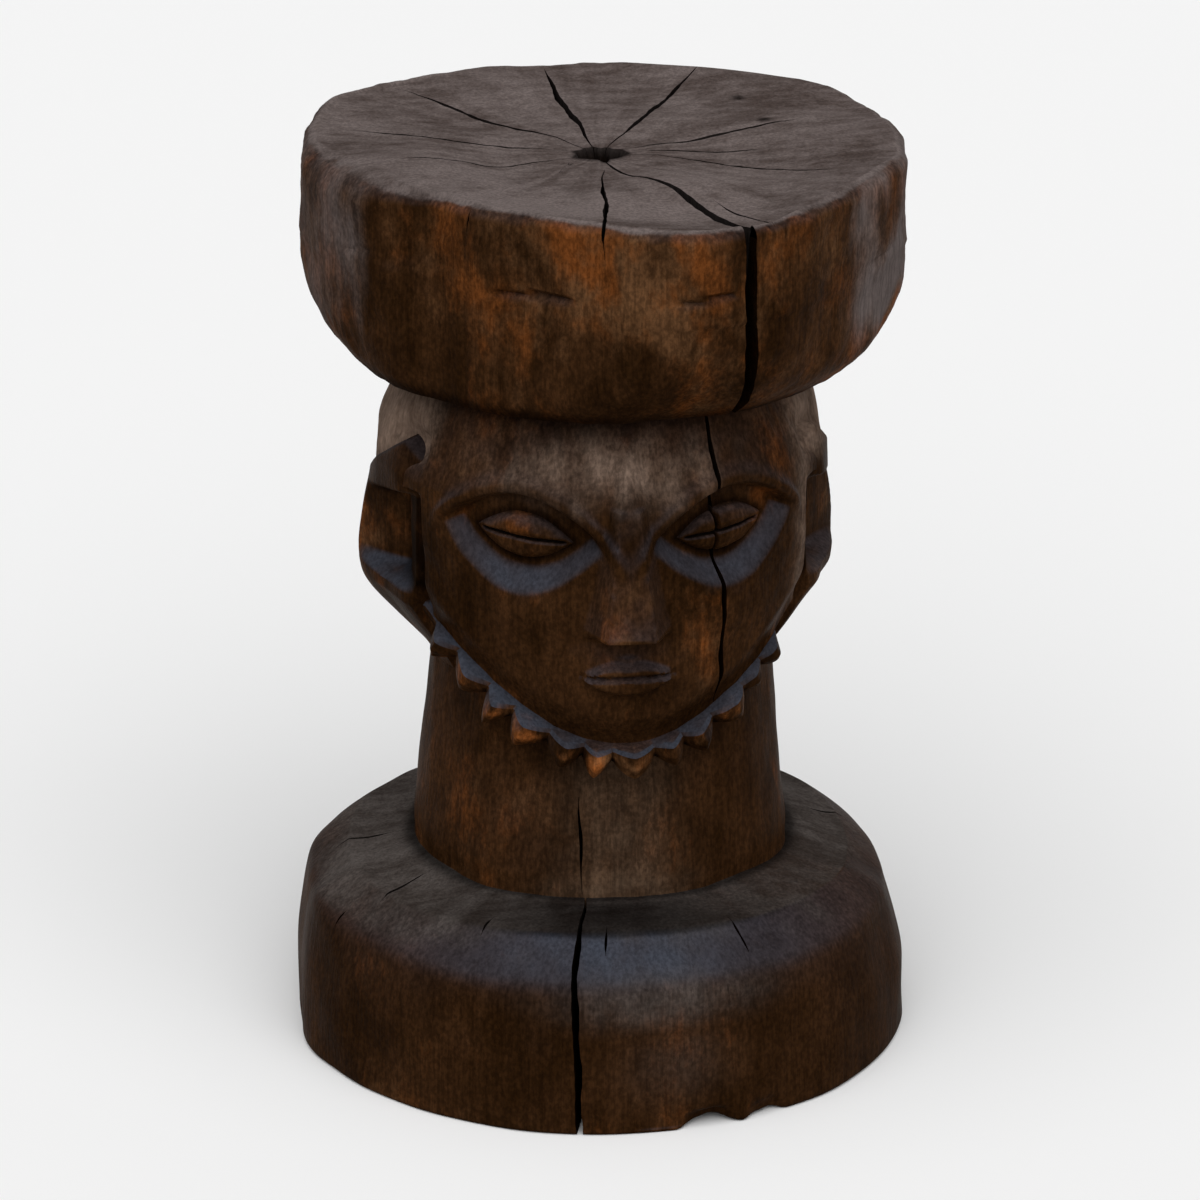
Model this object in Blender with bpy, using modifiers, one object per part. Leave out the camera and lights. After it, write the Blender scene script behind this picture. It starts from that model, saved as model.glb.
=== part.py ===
"""Carved log stool: a round seat on a bearded head, a thick neck and a round base.

The real stool is cut from one log. It is divided here along the creases that the carver cut,
so that each carved member is a solid of its own, seated on its neighbours with a hairline gap.

Metres, +Z up. The origin is the centre of the foot, and the face looks along -Y.
Angles are bearings about the log's axis: 0 is the front, and they grow towards +X.
"""

import math

import bmesh
import bpy
from mathutils import Matrix, Vector

# Gap between members, and how finely round forms are divided

JOINT_GAP = 0.0003
LOG_STEPS = 56
PROFILE_STEPS = 6

# How far the worn shoulder of the seat bows out, as a share of its run

SHOULDER_BULGE = 0.12

# Base

BASE_WALL_HEIGHT = 0.0735
BASE_BEVEL_HEIGHT = 0.0212
BASE_BEVEL_RUN = 0.0225
BASE_LAND_RISE = 0.0038
BASE_LAND_WIDTH = 0.035
BASE_CREASE_WIDTH = 0.010
BASE_FOOT_FLARE = 0.003
BASE_FOOT_EDGE = 0.002

# Wear of the base's bevel: its depth behind, and how far in radians the front is spared; then how much deeper
# it is on one side, the bearing of that side in degrees, and its reach in radians

BASE_WORN_BACK = 0.0035
BASE_SPARED_FRONT = 0.85
BASE_WORN_SIDE = 0.0040
BASE_WORN_BEARING = 84
BASE_WORN_REACH = 0.75

# Neck

NECK_FOOT_RADIUS = 0.092
NECK_TAPER = 0.0085
NECK_TO_CHIN = 0.0815

# Head

HEAD_HEIGHT = 0.170
HEAD_TOP_RADIUS = 0.094
HEAD_BULGE = 0.015
HEAD_DRAW_IN = 1.3
HEAD_JAW_TUCK = 0.007
NAPE_RISE = 0.058
JAW_RISE = 0.062
JAW_HALF_WIDTH = 0.093

# Face layout: the canon of halves and thirds for heights, and of five eyes for widths.
# Widths that follow the eye's are given in eye widths

CROWN_IN_SEAT = 0.043
FACE_HALF_ANGLE = math.radians(70)
SOCKET_HEIGHT = 0.056
SOCKET_DEPTH = 0.011
SOCKET_HALF_WIDTHS = 0.85
EYE_HEIGHT = 0.025
EYE_STAND = 0.009
EYE_SLIT = 0.0016
EYE_SLIT_DEPTH = 0.0025
EYE_SLIT_WIDTHS = 0.78
NOSE_STAND = 0.018
NOSE_WIDTH = 0.044
NOSE_BRIDGE_WIDTH = 0.018
LIP_WIDTH = 0.048
LIP_HEIGHT = 0.018
LIP_STAND = 0.009
MOUTH_WIDTH = 0.036
MOUTH_SLIT = 0.0016
MOUTH_SLIT_DEPTH = 0.003

# Ears

EAR_FACING = math.radians(75)
EAR_SHIFT = 0.016
EAR_HEIGHT = 0.084
EAR_WIDTH = 0.072
EAR_SET_IN = 0.003
EAR_THICKNESS = 0.019
EAR_RISE = 0.034
EAR_RIM = 0.014
EAR_HOLLOW_DEPTH = 0.012
EAR_ROUNDING = 0.004

# Beard

BEARD_HALF_ANGLE = math.radians(65)
BEARD_RAIL_RADIUS = 0.0085
BEARD_STAND = 0.004
BEARD_POINTS = 15
BEARD_POINT_LENGTH = 0.017
BEARD_POINT_WIDTH = 0.0105

# Seat

SEAT_WALL_HEIGHT = 0.045
SEAT_BEVEL_HEIGHT = 0.055
SEAT_BEVEL_RUN = 0.040
SEAT_UNDER_WIDTH = 0.024
SEAT_WALL_STEPS = 10
SEAT_EDGE = 0.007
SEAT_DISH = 0.005
SEAT_DISH_MARGIN = 0.020
PITH_RADIUS = 0.009
PITH_DEPTH = 0.028

# Upright flats hewn on the seat's side: bearing in degrees, and how far the flat is cut in
# from the round of the log

HEWN_SHARPNESS = 26
SEAT_FLATS = (
    (-42, 0.0410),
    (-74, 0.0250),
    (-27, 0.0335),
    (14, 0.0050),
    (34, 0.0100),
    (57, 0.0190),
    (95, 0.0110),
    (130, 0.0000),
    (152, 0.0110),
    (175, 0.0120),
    (-158, 0.0070),
    (-137, 0.0000),
    (-104, 0.0095),
)

# Drying checks: bearing in degrees, start and end as distances from the pith or in from the bark,
# opening at the widest

SEAT_CHECK_DEPTH = 0.022
SEAT_CHECKS = (
    (-176, 0.006, 0.132, 0.0042),
    (152, 0.006, 0.136, 0.0034),
    (-144, 0.006, 0.134, 0.0026),
    (-112, 0.006, 0.120, 0.0014),
    (-81, 0.006, 0.100, 0.0012),
    (108, 0.006, 0.104, 0.0016),
    (65, 0.006, 0.112, 0.0012),
    (-7, 0.006, 0.156, 0.0020),
)
SEAT_SPLIT_BEARING = 21
SEAT_SPLIT_OPENING = 0.0058
SEAT_SPLIT_DEPTH = 0.060
BASE_SPLIT_BEARING = -11
BASE_SPLIT_OPENING = 0.0050
BASE_SPLIT_DEPTH = 0.055
HEAD_SPLIT_BEARING = 24
HEAD_SPLIT_OPENING = 0.0022
HEAD_SPLIT_DEPTH = 0.014
HEAD_SPLIT_LENGTH = 0.128

# Places worked out from the driving dimensions

base_land = BASE_WALL_HEIGHT + BASE_BEVEL_HEIGHT
base_top = base_land + BASE_LAND_RISE
base_shoulder_radius = NECK_FOOT_RADIUS + BASE_LAND_WIDTH
base_wall_radius = base_shoulder_radius + BASE_BEVEL_RUN
base_radius = base_wall_radius + BASE_FOOT_FLARE
chin = base_top + NECK_TO_CHIN
nape = chin + NAPE_RISE
head_top = chin + HEAD_HEIGHT
seat_bottom = head_top + JOINT_GAP
seat_top = seat_bottom + SEAT_BEVEL_HEIGHT + SEAT_WALL_HEIGHT
seat_under_radius = HEAD_TOP_RADIUS + SEAT_UNDER_WIDTH
seat_radius = seat_under_radius + SEAT_BEVEL_RUN
neck_top_radius = NECK_FOOT_RADIUS - NECK_TAPER
neck_foot = base_top + JOINT_GAP
head_radius = HEAD_TOP_RADIUS + HEAD_BULGE
jaw_radius = head_radius - HEAD_JAW_TUCK

# The face: eyes half way from crown to chin, the hairline a seventh below the crown,
# then three equal thirds to the brow, the nose's base and the chin
crown = head_top + CROWN_IN_SEAT
eye_line = (crown + chin) / 2
face_third = (crown - chin) * 6 / 7 / 3
brow_line = chin + 2 * face_third
nose_base = chin + face_third
mouth_line = nose_base - face_third / 3
eye_angle = FACE_HALF_ANGLE * 2 / 5
eye_width = eye_angle * head_radius
ear_middle = nape + EAR_RISE
head_reach = 2 * (seat_radius + base_radius)


def collection(name):
    """A new collection, linked to the scene."""
    made = bpy.data.collections.new(name)
    bpy.context.scene.collection.children.link(made)
    return made


def finish(made, root, colour, roughness):
    """Gives a member its own oiled wood and smooth shading, and hangs it on the stool's empty."""
    material = bpy.data.materials.new(made.name + "_wood")
    material.use_nodes = True
    shader = material.node_tree.nodes["Principled BSDF"]
    shader.inputs["Base Color"].default_value = (*colour, 1.0)
    shader.inputs["Roughness"].default_value = roughness
    shader.inputs["Metallic"].default_value = 0.0
    made.data.materials.clear()
    made.data.materials.append(material)
    made.data.shade_smooth()
    made.parent = root


def mesh_object(name, bm, group):
    """The bmesh as a new object in a collection."""
    mesh = bpy.data.meshes.new(name)
    bm.to_mesh(mesh)
    bm.free()
    made = bpy.data.objects.new(name, mesh)
    group.objects.link(made)
    return made


def turned(name, profile, group):
    """A profile of (radius, height) points, run from the top down its outer side, turned about the axis."""
    bm = bmesh.new()
    points = [bm.verts.new((radius, 0, height)) for radius, height in profile]
    for above, below in zip(points, points[1:]):
        bm.edges.new((above, below))
    made = mesh_object(name, bm, group)
    screw = made.modifiers.new("turn", "SCREW")
    screw.axis = "Z"
    screw.steps = LOG_STEPS
    screw.render_steps = LOG_STEPS
    screw.use_merge_vertices = True
    screw.merge_threshold = 0.00001
    return made


def frozen(made, name, group):
    """The object as its modifiers leave it, as a plain mesh in place. The source object is removed."""
    bpy.context.view_layer.update()
    graph = bpy.context.evaluated_depsgraph_get()
    mesh = bpy.data.meshes.new_from_object(made.evaluated_get(graph))
    mesh.transform(made.matrix_world)
    bpy.data.objects.remove(made)
    bm = bmesh.new()
    bm.from_mesh(mesh)
    bmesh.ops.remove_doubles(bm, verts=bm.verts, dist=0.00001)
    bmesh.ops.recalc_face_normals(bm, faces=bm.faces)
    bm.to_mesh(mesh)
    bm.free()
    mesh.name = name
    solid = bpy.data.objects.new(name, mesh)
    group.objects.link(solid)
    return solid


def prism(name, outline, half_depth, group):
    """A closed outline of (x, y) points, filled and extruded half_depth each way along Z, as a mesh."""
    curve = bpy.data.curves.new(name, "CURVE")
    curve.dimensions = "2D"
    curve.fill_mode = "BOTH"
    curve.extrude = half_depth
    spline = curve.splines.new("POLY")
    spline.points.add(len(outline) - 1)
    for point, (x, y) in zip(spline.points, outline):
        point.co = (x, y, 0, 1)
    spline.use_cyclic_u = True
    drawn = bpy.data.objects.new(name + "_outline", curve)
    group.objects.link(drawn)
    return frozen(drawn, name, group)


def moved(made, matrix):
    """The object's mesh, carried by the matrix. A mirroring matrix turns its faces back out."""
    made.data.transform(matrix)
    if matrix.determinant() < 0:
        made.data.flip_normals()
    return made


def boolean(target, tool, operation):
    """A Boolean on the target. The tool is kept as a wire guide that isn't a part."""
    tool.hide_render = True
    tool.display_type = "WIRE"
    step = target.modifiers.new(tool.name, "BOOLEAN")
    step.operation = operation
    step.object = tool
    return target


def ball(name, centre, half_sizes, turn, group):
    """An ellipsoid at a centre, its half sizes along its own axes, turned about Z."""
    bm = bmesh.new()
    bmesh.ops.create_uvsphere(bm, u_segments=24, v_segments=14, radius=1)
    shape = Matrix.Translation(centre) @ Matrix.Rotation(turn, 4, "Z") @ Matrix.Diagonal((*half_sizes, 1))
    bm.transform(shape)
    return mesh_object(name, bm, group)


def box(name, centre, sizes, turn, group):
    """A box at a centre, turned about Z."""
    bm = bmesh.new()
    bmesh.ops.create_cube(bm, size=1)
    bm.transform(Matrix.Translation(centre) @ Matrix.Rotation(turn, 4, "Z") @ Matrix.Diagonal((*sizes, 1)))
    return mesh_object(name, bm, group)


def at(bearing, radius, height):
    """The point at a bearing from the front, a radius from the axis and a height."""
    return Vector((radius * math.sin(bearing), -radius * math.cos(bearing), height))


def arc(start, end, bulge, steps=PROFILE_STEPS):
    """Points from start to end, both (radius, height), bowed out to the right of the way by bulge."""
    along = Vector(end) - Vector(start)
    out = Vector((-along.y, along.x)).normalized()
    points = []
    for step in range(steps + 1):
        share = step / steps
        point = Vector(start) + along * share + out * bulge * 4 * share * (1 - share)
        points.append((point.x, point.y))
    return points


def check_cutter(name, bearing, inner, outer, opening, low, high, group):
    """A drying check: a wavering sliver in plan, widest at its outer end, upright from low to high."""
    steps = 8
    edges = ([], [])
    for step in range(steps + 1):
        share = step / steps
        radius = inner + (outer - inner) * share
        waver = 0.6 * opening * math.sin(60 * radius + bearing)
        half = 0.5 * opening * (0.15 + 0.85 * share**0.7)
        for side, edge in zip((-1, 1), edges):
            across = at(math.radians(bearing + 90), waver + side * half, 0)
            point = at(math.radians(bearing), radius, 0) + across
            edge.append((point.x, point.y))
    sliver = prism(name, edges[0] + edges[1][::-1], (high - low) / 2, group)
    return moved(sliver, Matrix.Translation((0, 0, (high + low) / 2)))


def lofted(name, top_height, rings, bottom_height, group):
    """Rings from the top down, each a radius and a height by bearing, closed on the axis at each end."""
    bm = bmesh.new()
    bearings = [2 * math.pi * step / LOG_STEPS for step in range(LOG_STEPS)]
    loops = []
    for ring in rings:
        loops.append([bm.verts.new(at(bearing, *ring(bearing))) for bearing in bearings])
    top = bm.verts.new((0, 0, top_height))
    bottom = bm.verts.new((0, 0, bottom_height))
    for step in range(LOG_STEPS):
        after = (step + 1) % LOG_STEPS
        bm.faces.new((top, loops[0][step], loops[0][after]))
        bm.faces.new((bottom, loops[-1][after], loops[-1][step]))
        for upper, lower in zip(loops, loops[1:]):
            bm.faces.new((upper[step], lower[step], lower[after], upper[after]))
    bmesh.ops.recalc_face_normals(bm, faces=bm.faces)
    return mesh_object(name, bm, group)


def neck_radius(height):
    """The neck's radius, which tapers evenly from its foot to the nape."""
    return NECK_FOOT_RADIUS - NECK_TAPER * (height - base_top) / (nape - base_top)


def head_profile_radius(height):
    """The head's radius: widest at the brow, drawn in to the seat and, by a parabola, to the jaw."""
    if height > brow_line:
        share = (height - brow_line) / (head_top - brow_line)
        return head_radius - HEAD_BULGE * share**HEAD_DRAW_IN
    share = (brow_line - height) / (brow_line - chin)
    return head_radius - HEAD_JAW_TUCK * share**2


def head_block(name, grow, group):
    """The turned block that the head is carved from, thicker all round by grow."""
    rows = 3 * PROFILE_STEPS
    side = []
    for row in range(rows + 1):
        height = head_top + (chin - head_top) * row / rows
        side.append((head_profile_radius(height) + grow, height))
    return turned(name, [(0, head_top), *side, (0, chin)], group)


def neck_block(name, grow, low, high, group):
    """The neck as a turned block from low to high, thicker all round by grow."""
    sides = [(neck_radius(high) + grow, high), (neck_radius(low) + grow, low)]
    return turned(name, [(0, high), *sides, (0, low)], group)


def jaw_height(across):
    """The jaw's lower edge: a parabola that climbs from the chin to the level of the nape."""
    return min(chin + JAW_RISE * (across / JAW_HALF_WIDTH) ** 2, nape)


def base_wear(bearing):
    """How deep the base's bevel is worn: hardly in front, more behind, and most on one side."""
    ahead = math.remainder(bearing, 2 * math.pi)
    aside = math.remainder(bearing - math.radians(BASE_WORN_BEARING), 2 * math.pi)
    behind = 1 - math.exp(-((ahead / BASE_SPARED_FRONT) ** 2))
    return BASE_WORN_BACK * behind + BASE_WORN_SIDE * math.exp(-((aside / BASE_WORN_REACH) ** 2))


def base_ring(radius, height, inward=0.0, downward=0.0):
    """A ring of the base, drawn in and down by shares of the wear."""
    def ring(bearing):
        wear = base_wear(bearing)
        return radius - inward * wear, height - downward * wear
    return ring


def build_base(parts, guides):
    """The base: a flaring wall, a worn bevel and a land that rises to the neck, split at the front."""
    rings = [
        base_ring(NECK_FOOT_RADIUS, base_top),
        base_ring(NECK_FOOT_RADIUS + BASE_CREASE_WIDTH, base_land),
        base_ring(base_shoulder_radius, base_land, 0.4, 1.0),
        base_ring(base_wall_radius, BASE_WALL_HEIGHT, 1.0, 0.45),
        base_ring((base_wall_radius + base_radius) / 2, BASE_WALL_HEIGHT / 2),
        base_ring(base_radius, BASE_FOOT_EDGE),
        base_ring(base_radius - BASE_FOOT_EDGE, 0),
    ]
    base = lofted("base", base_top, rings, 0, parts)
    inner = base_radius - BASE_SPLIT_DEPTH
    outer = base_radius + BASE_SPLIT_OPENING
    split = check_cutter(
        "base_split", BASE_SPLIT_BEARING, inner, outer, BASE_SPLIT_OPENING,
        -base_top, 2 * base_top, guides,
    )
    boolean(base, split, "DIFFERENCE")
    return base


def build_neck(parts):
    """The neck: a thick post, a little wider at its foot."""
    neck = neck_block("neck", 0, neck_foot, nape, parts)
    return neck


def jaw_cutter(guides):
    """What the carver cuts away in front below the jaw: everything under the parabola, along Y."""
    reach = head_reach
    half = JAW_HALF_WIDTH * math.sqrt(NAPE_RISE / JAW_RISE)
    steps = 2 * PROFILE_STEPS
    edge = []
    for step in range(-steps, steps + 1):
        across = half * step / steps
        edge.append((across, jaw_height(across)))
    low = chin - HEAD_HEIGHT
    outline = [(-reach, nape), *edge, (reach, nape), (reach, low), (-reach, low)]
    under = prism("jaw_cut", outline, reach / 2, guides)
    return moved(under, Matrix.Translation((0, -reach / 2, 0)) @ Matrix.Rotation(math.pi / 2, 4, "X"))


def nape_cutter(guides):
    """What is cut away behind, below the level of the nape."""
    reach = head_reach
    return box("nape_cut", (0, reach / 2, nape - reach / 2), (2 * reach, reach, reach), 0, guides)


def socket_ball(name, side, shrink, guides):
    """The hollow that an eye sits in, smaller all round by shrink."""
    bearing = side * eye_angle
    centre = at(bearing, head_radius + SOCKET_DEPTH, eye_line)
    half_width = SOCKET_HALF_WIDTHS * eye_width - shrink
    half_sizes = (half_width, 2 * SOCKET_DEPTH - shrink, SOCKET_HEIGHT / 2 - shrink)
    return ball(name, centre, half_sizes, bearing, guides)


def nose_block(guides):
    """The nose: a tapered wedge from the brow down to its base, its wings wider than its bridge."""
    bm = bmesh.new()
    bmesh.ops.create_cone(
        bm, cap_ends=True, segments=8, radius1=NOSE_WIDTH / 2, radius2=NOSE_BRIDGE_WIDTH / 2,
        depth=brow_line - nose_base,
    )
    lean = Matrix.Rotation(math.atan2(0.5 * NOSE_STAND, brow_line - nose_base), 4, "X")
    middle = at(0, head_radius + 0.25 * NOSE_STAND, (brow_line + nose_base) / 2)
    squeeze = Matrix.Diagonal((1, 2 * NOSE_STAND / NOSE_WIDTH, 1, 1))
    bm.transform(Matrix.Translation(middle) @ lean.inverted() @ squeeze)
    return mesh_object("nose_form", bm, guides)


def build_head(parts, guides):
    """The head: a turned block with the jaw cut, the eye hollows, the nose and the lips."""
    head = head_block("head", 0, parts)
    boolean(head, nose_block(guides), "UNION")
    lips = ball(
        "lip_form", at(0, head_profile_radius(mouth_line), mouth_line),
        (LIP_WIDTH / 2, LIP_STAND, LIP_HEIGHT / 2), 0, guides,
    )
    boolean(head, lips, "UNION")
    mouth = box(
        "mouth_slit", at(0, head_profile_radius(mouth_line) + LIP_STAND, mouth_line),
        (MOUTH_WIDTH, 2 * MOUTH_SLIT_DEPTH, MOUTH_SLIT), 0, guides,
    )
    boolean(head, mouth, "DIFFERENCE")
    boolean(head, jaw_cutter(guides), "DIFFERENCE")
    boolean(head, nape_cutter(guides), "DIFFERENCE")
    socket = neck_block("neck_room", JOINT_GAP, base_top, nape + JOINT_GAP, guides)
    boolean(head, socket, "DIFFERENCE")
    for side, name in ((-1, "left"), (1, "right")):
        boolean(head, socket_ball(name + "_socket", side, 0, guides), "DIFFERENCE")
        boolean(head, ear_slab(name + "_ear_room", side, JOINT_GAP, EAR_THICKNESS, guides), "DIFFERENCE")
    boolean(head, head_split(guides), "DIFFERENCE")
    return head


def head_split(guides):
    """The check that runs down the forehead and through an eye to the cheek."""
    outer = head_radius + NOSE_STAND
    return check_cutter(
        "head_split", HEAD_SPLIT_BEARING, head_radius - HEAD_SPLIT_DEPTH, outer, HEAD_SPLIT_OPENING,
        head_top - HEAD_SPLIT_LENGTH, head_top + HEAD_SPLIT_LENGTH, guides,
    )


def eye_check(front, guides):
    """The same check where it crosses the eye, no deeper there than the eye's slit."""
    return check_cutter(
        "eye_check", HEAD_SPLIT_BEARING, front - EYE_SLIT_DEPTH, front + EYE_STAND, HEAD_SPLIT_OPENING,
        eye_line - EYE_HEIGHT, eye_line + EYE_HEIGHT, guides,
    )


def build_eye(side, name, parts, guides):
    """An eye: a lens pointed at both corners, seated in its hollow, with a slit along it."""
    bearing = side * eye_angle
    lens_radius = (eye_width**2 + EYE_HEIGHT**2) / (4 * EYE_HEIGHT)
    steps = 10
    half_turn = math.asin(eye_width / 2 / lens_radius)
    upper = []
    for step in range(steps + 1):
        turn = half_turn * (2 * step / steps - 1)
        rise = EYE_HEIGHT / 2 - lens_radius * (1 - math.cos(turn))
        upper.append((lens_radius * math.sin(turn), rise))
    lower = [(x, -y) for x, y in upper[-2:0:-1]]
    eye = prism(name, upper + lower, 2 * SOCKET_DEPTH, parts)
    upright = Matrix.Rotation(math.pi / 2, 4, "X")
    place = Matrix.Translation(at(bearing, head_radius, eye_line)) @ Matrix.Rotation(bearing, 4, "Z")
    moved(eye, place @ upright)
    boolean(eye, socket_ball(name + "_seat", side, JOINT_GAP, guides), "INTERSECT")
    front = ball(
        name + "_front", at(bearing, head_radius - SOCKET_DEPTH, eye_line),
        (SOCKET_HALF_WIDTHS * eye_width, EYE_STAND, 0.95 * EYE_HEIGHT), bearing, guides,
    )
    boolean(eye, front, "INTERSECT")
    slit_front = head_radius - SOCKET_DEPTH + EYE_STAND
    slit = box(
        name + "_slit", at(bearing, slit_front, eye_line),
        (EYE_SLIT_WIDTHS * eye_width, 2 * EYE_SLIT_DEPTH, EYE_SLIT), bearing, guides,
    )
    boolean(eye, slit, "DIFFERENCE")
    if side > 0:
        boolean(eye, eye_check(slit_front, guides), "DIFFERENCE")
    return eye


def ear_frame(side):
    """Carries x (towards the face), y (up) and z (the way the ear looks) to the ear's place."""
    bearing = side * EAR_FACING
    frame = Matrix.Identity(4)
    frame.col[0] = (*at(bearing - side * math.pi / 2, 1, 0), 0)
    frame.col[1] = (0, 0, 1, 0)
    frame.col[2] = (*at(bearing, 1, 0), 0)
    return Matrix.Translation((0, 0, ear_middle)) @ frame


def ear_slab(name, side, grow, front, group):
    """An upright oval slab in the ear's place, larger all round by grow, its face moved out by front."""
    steps = 4 * PROFILE_STEPS
    outline = []
    for step in range(steps):
        turn = 2 * math.pi * step / steps
        x = (EAR_WIDTH / 2 + grow) * math.cos(turn) - EAR_SHIFT
        outline.append((x, (EAR_HEIGHT / 2 + grow) * math.sin(turn)))
    face = head_radius - EAR_SET_IN + front
    back = head_radius - EAR_SET_IN - EAR_THICKNESS - grow
    slab = prism(name, outline, (face - back) / 2, group)
    return moved(slab, ear_frame(side) @ Matrix.Translation((0, 0, (face + back) / 2)))


def build_ear(side, name, parts, guides):
    """An ear: an oval slab set into the head's side, hollowed towards the face so that its rim is a C."""
    ear = ear_slab(name, side, 0, 0, parts)
    rounding = ear.modifiers.new("rounding", "BEVEL")
    rounding.width = EAR_ROUNDING
    rounding.segments = 2
    hollow = ball(
        name + "_hollow", (EAR_RIM / 2 - EAR_SHIFT, 0, head_radius - EAR_SET_IN),
        (EAR_WIDTH / 2 - EAR_RIM / 2, EAR_HEIGHT / 2 - EAR_RIM, EAR_HOLLOW_DEPTH), 0, guides,
    )
    boolean(ear, moved(hollow, ear_frame(side)), "DIFFERENCE")
    neck_room = neck_block(name + "_neck_room", JOINT_GAP, base_top, nape + EAR_HEIGHT, guides)
    boolean(ear, neck_room, "DIFFERENCE")
    return ear


def beard_place(bearing):
    """A point on the beard's rail, along the jaw's edge."""
    radius = jaw_radius + BEARD_STAND
    return at(bearing, radius, jaw_height(radius * math.sin(bearing)))


def build_beard(parts, guides):
    """The beard: a rail along the jaw from ear to ear, with a row of four-sided points below it."""
    curve = bpy.data.curves.new("beard_rail", "CURVE")
    curve.dimensions = "3D"
    curve.bevel_depth = BEARD_RAIL_RADIUS
    curve.bevel_resolution = 1
    curve.use_fill_caps = True
    spline = curve.splines.new("POLY")
    count = 2 * BEARD_POINTS + 1
    spline.points.add(count - 1)
    for index, point in enumerate(spline.points):
        bearing = BEARD_HALF_ANGLE * (2 * index / (count - 1) - 1)
        point.co = (*beard_place(bearing), 1)
    rail = bpy.data.objects.new("beard_rail", curve)
    parts.objects.link(rail)
    beard = frozen(rail, "beard", parts)
    for index in range(BEARD_POINTS):
        bearing = BEARD_HALF_ANGLE * ((2 * index + 1) / BEARD_POINTS - 1)
        boolean(beard, beard_point(index, bearing, guides), "UNION")
    boolean(beard, head_block("beard_head_seat", JOINT_GAP, guides), "DIFFERENCE")
    low = chin - NECK_TO_CHIN / 2
    boolean(beard, neck_block("beard_neck_seat", JOINT_GAP, low, nape, guides), "DIFFERENCE")
    for side, name in ((-1, "left"), (1, "right")):
        lobe = ear_slab(name + "_lobe_room", side, JOINT_GAP, EAR_THICKNESS, guides)
        boolean(beard, lobe, "DIFFERENCE")
    return beard


def beard_point(index, bearing, guides):
    """One point of the beard: a pyramid that leans out and down from the rail."""
    bm = bmesh.new()
    bmesh.ops.create_cone(
        bm, cap_ends=True, segments=4, radius1=BEARD_POINT_WIDTH, radius2=0.1 * BEARD_POINT_WIDTH,
        depth=BEARD_POINT_LENGTH,
    )
    way = at(bearing, 0.35, -1).normalized()
    turn = way.to_track_quat("Z", "X").to_matrix().to_4x4()
    middle = beard_place(bearing) + way * (BEARD_POINT_LENGTH / 2)
    bm.transform(Matrix.Translation(middle) @ turn)
    return mesh_object(f"beard_point_{index + 1:02d}", bm, guides)


def soft_least(distances):
    """The least of some distances, with its corners rounded: their power mean with a high negative power."""
    return sum(distance**-HEWN_SHARPNESS for distance in distances) ** (-1 / HEWN_SHARPNESS)


def rim_radius(bearing):
    """The hewn rim in plan: a soft polygon, the least of the flats' distances along the bearing."""
    distances = []
    for flat, cut in SEAT_FLATS:
        towards = math.cos(bearing - math.radians(flat))
        if towards > 0:
            distances.append((seat_radius - cut) / towards)
    return soft_least(distances)


def seat_ring(inset, height):
    """A ring of the seat at one height, in from the hewn rim by an inset."""
    return lambda bearing: (rim_radius(bearing) - inset, height)


def wall_ring(radius, height):
    """A ring of the seat's wall: the hewn rim, or the log's round of that radius where it is less."""
    return lambda bearing: (soft_least((radius, rim_radius(bearing))), height)


def seat_rings():
    """The seat's rings: the dished top, the rounded rim, the hewn wall and the round underside."""
    dish_foot = seat_top - 0.8 * SEAT_DISH
    rings = [lambda bearing: (0.5 * (rim_radius(bearing) - SEAT_DISH_MARGIN), dish_foot)]
    rings.append(seat_ring(SEAT_DISH_MARGIN, seat_top))
    for step in range(4):
        turn = math.pi / 2 * step / 3
        rings.append(seat_ring(SEAT_EDGE * (1 - math.sin(turn)), seat_top - SEAT_EDGE * (1 - math.cos(turn))))
    wall_foot = (seat_radius, seat_bottom + SEAT_BEVEL_HEIGHT)
    under = (seat_under_radius, seat_bottom)
    for radius, height in arc(wall_foot, under, SHOULDER_BULGE * SEAT_BEVEL_RUN, SEAT_WALL_STEPS):
        rings.append(wall_ring(radius, height))
    return rings


def build_seat(parts, guides):
    """The seat: a thick dished slab with a hewn rim and a rounded underside, the pith hole and the checks."""
    seat = lofted("seat", seat_top - SEAT_DISH, seat_rings(), seat_bottom, parts)
    bm = bmesh.new()
    bmesh.ops.create_cone(
        bm, cap_ends=True, segments=12, radius1=0.6 * PITH_RADIUS, radius2=PITH_RADIUS, depth=2 * PITH_DEPTH,
    )
    bm.transform(Matrix.Translation((0, 0, seat_top)))
    boolean(seat, mesh_object("pith_hole", bm, guides), "DIFFERENCE")
    for index, (bearing, inner, outer, opening) in enumerate(SEAT_CHECKS):
        check = check_cutter(
            f"seat_check_{index + 1}", bearing, inner, outer, opening,
            seat_top - SEAT_CHECK_DEPTH, seat_top + SEAT_CHECK_DEPTH, guides,
        )
        boolean(seat, check, "DIFFERENCE")
    split_top = check_cutter(
        "seat_split_top", SEAT_SPLIT_BEARING, 0.6 * PITH_RADIUS, seat_radius + SEAT_EDGE, SEAT_SPLIT_OPENING,
        seat_top - SEAT_CHECK_DEPTH, seat_top + SEAT_CHECK_DEPTH, guides,
    )
    boolean(seat, split_top, "DIFFERENCE")
    split_side = check_cutter(
        "seat_split_side", SEAT_SPLIT_BEARING, seat_radius - SEAT_SPLIT_DEPTH, seat_radius + SEAT_EDGE,
        SEAT_SPLIT_OPENING, seat_bottom - SEAT_CHECK_DEPTH, seat_top + SEAT_CHECK_DEPTH, guides,
    )
    boolean(seat, split_side, "DIFFERENCE")
    return seat


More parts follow.
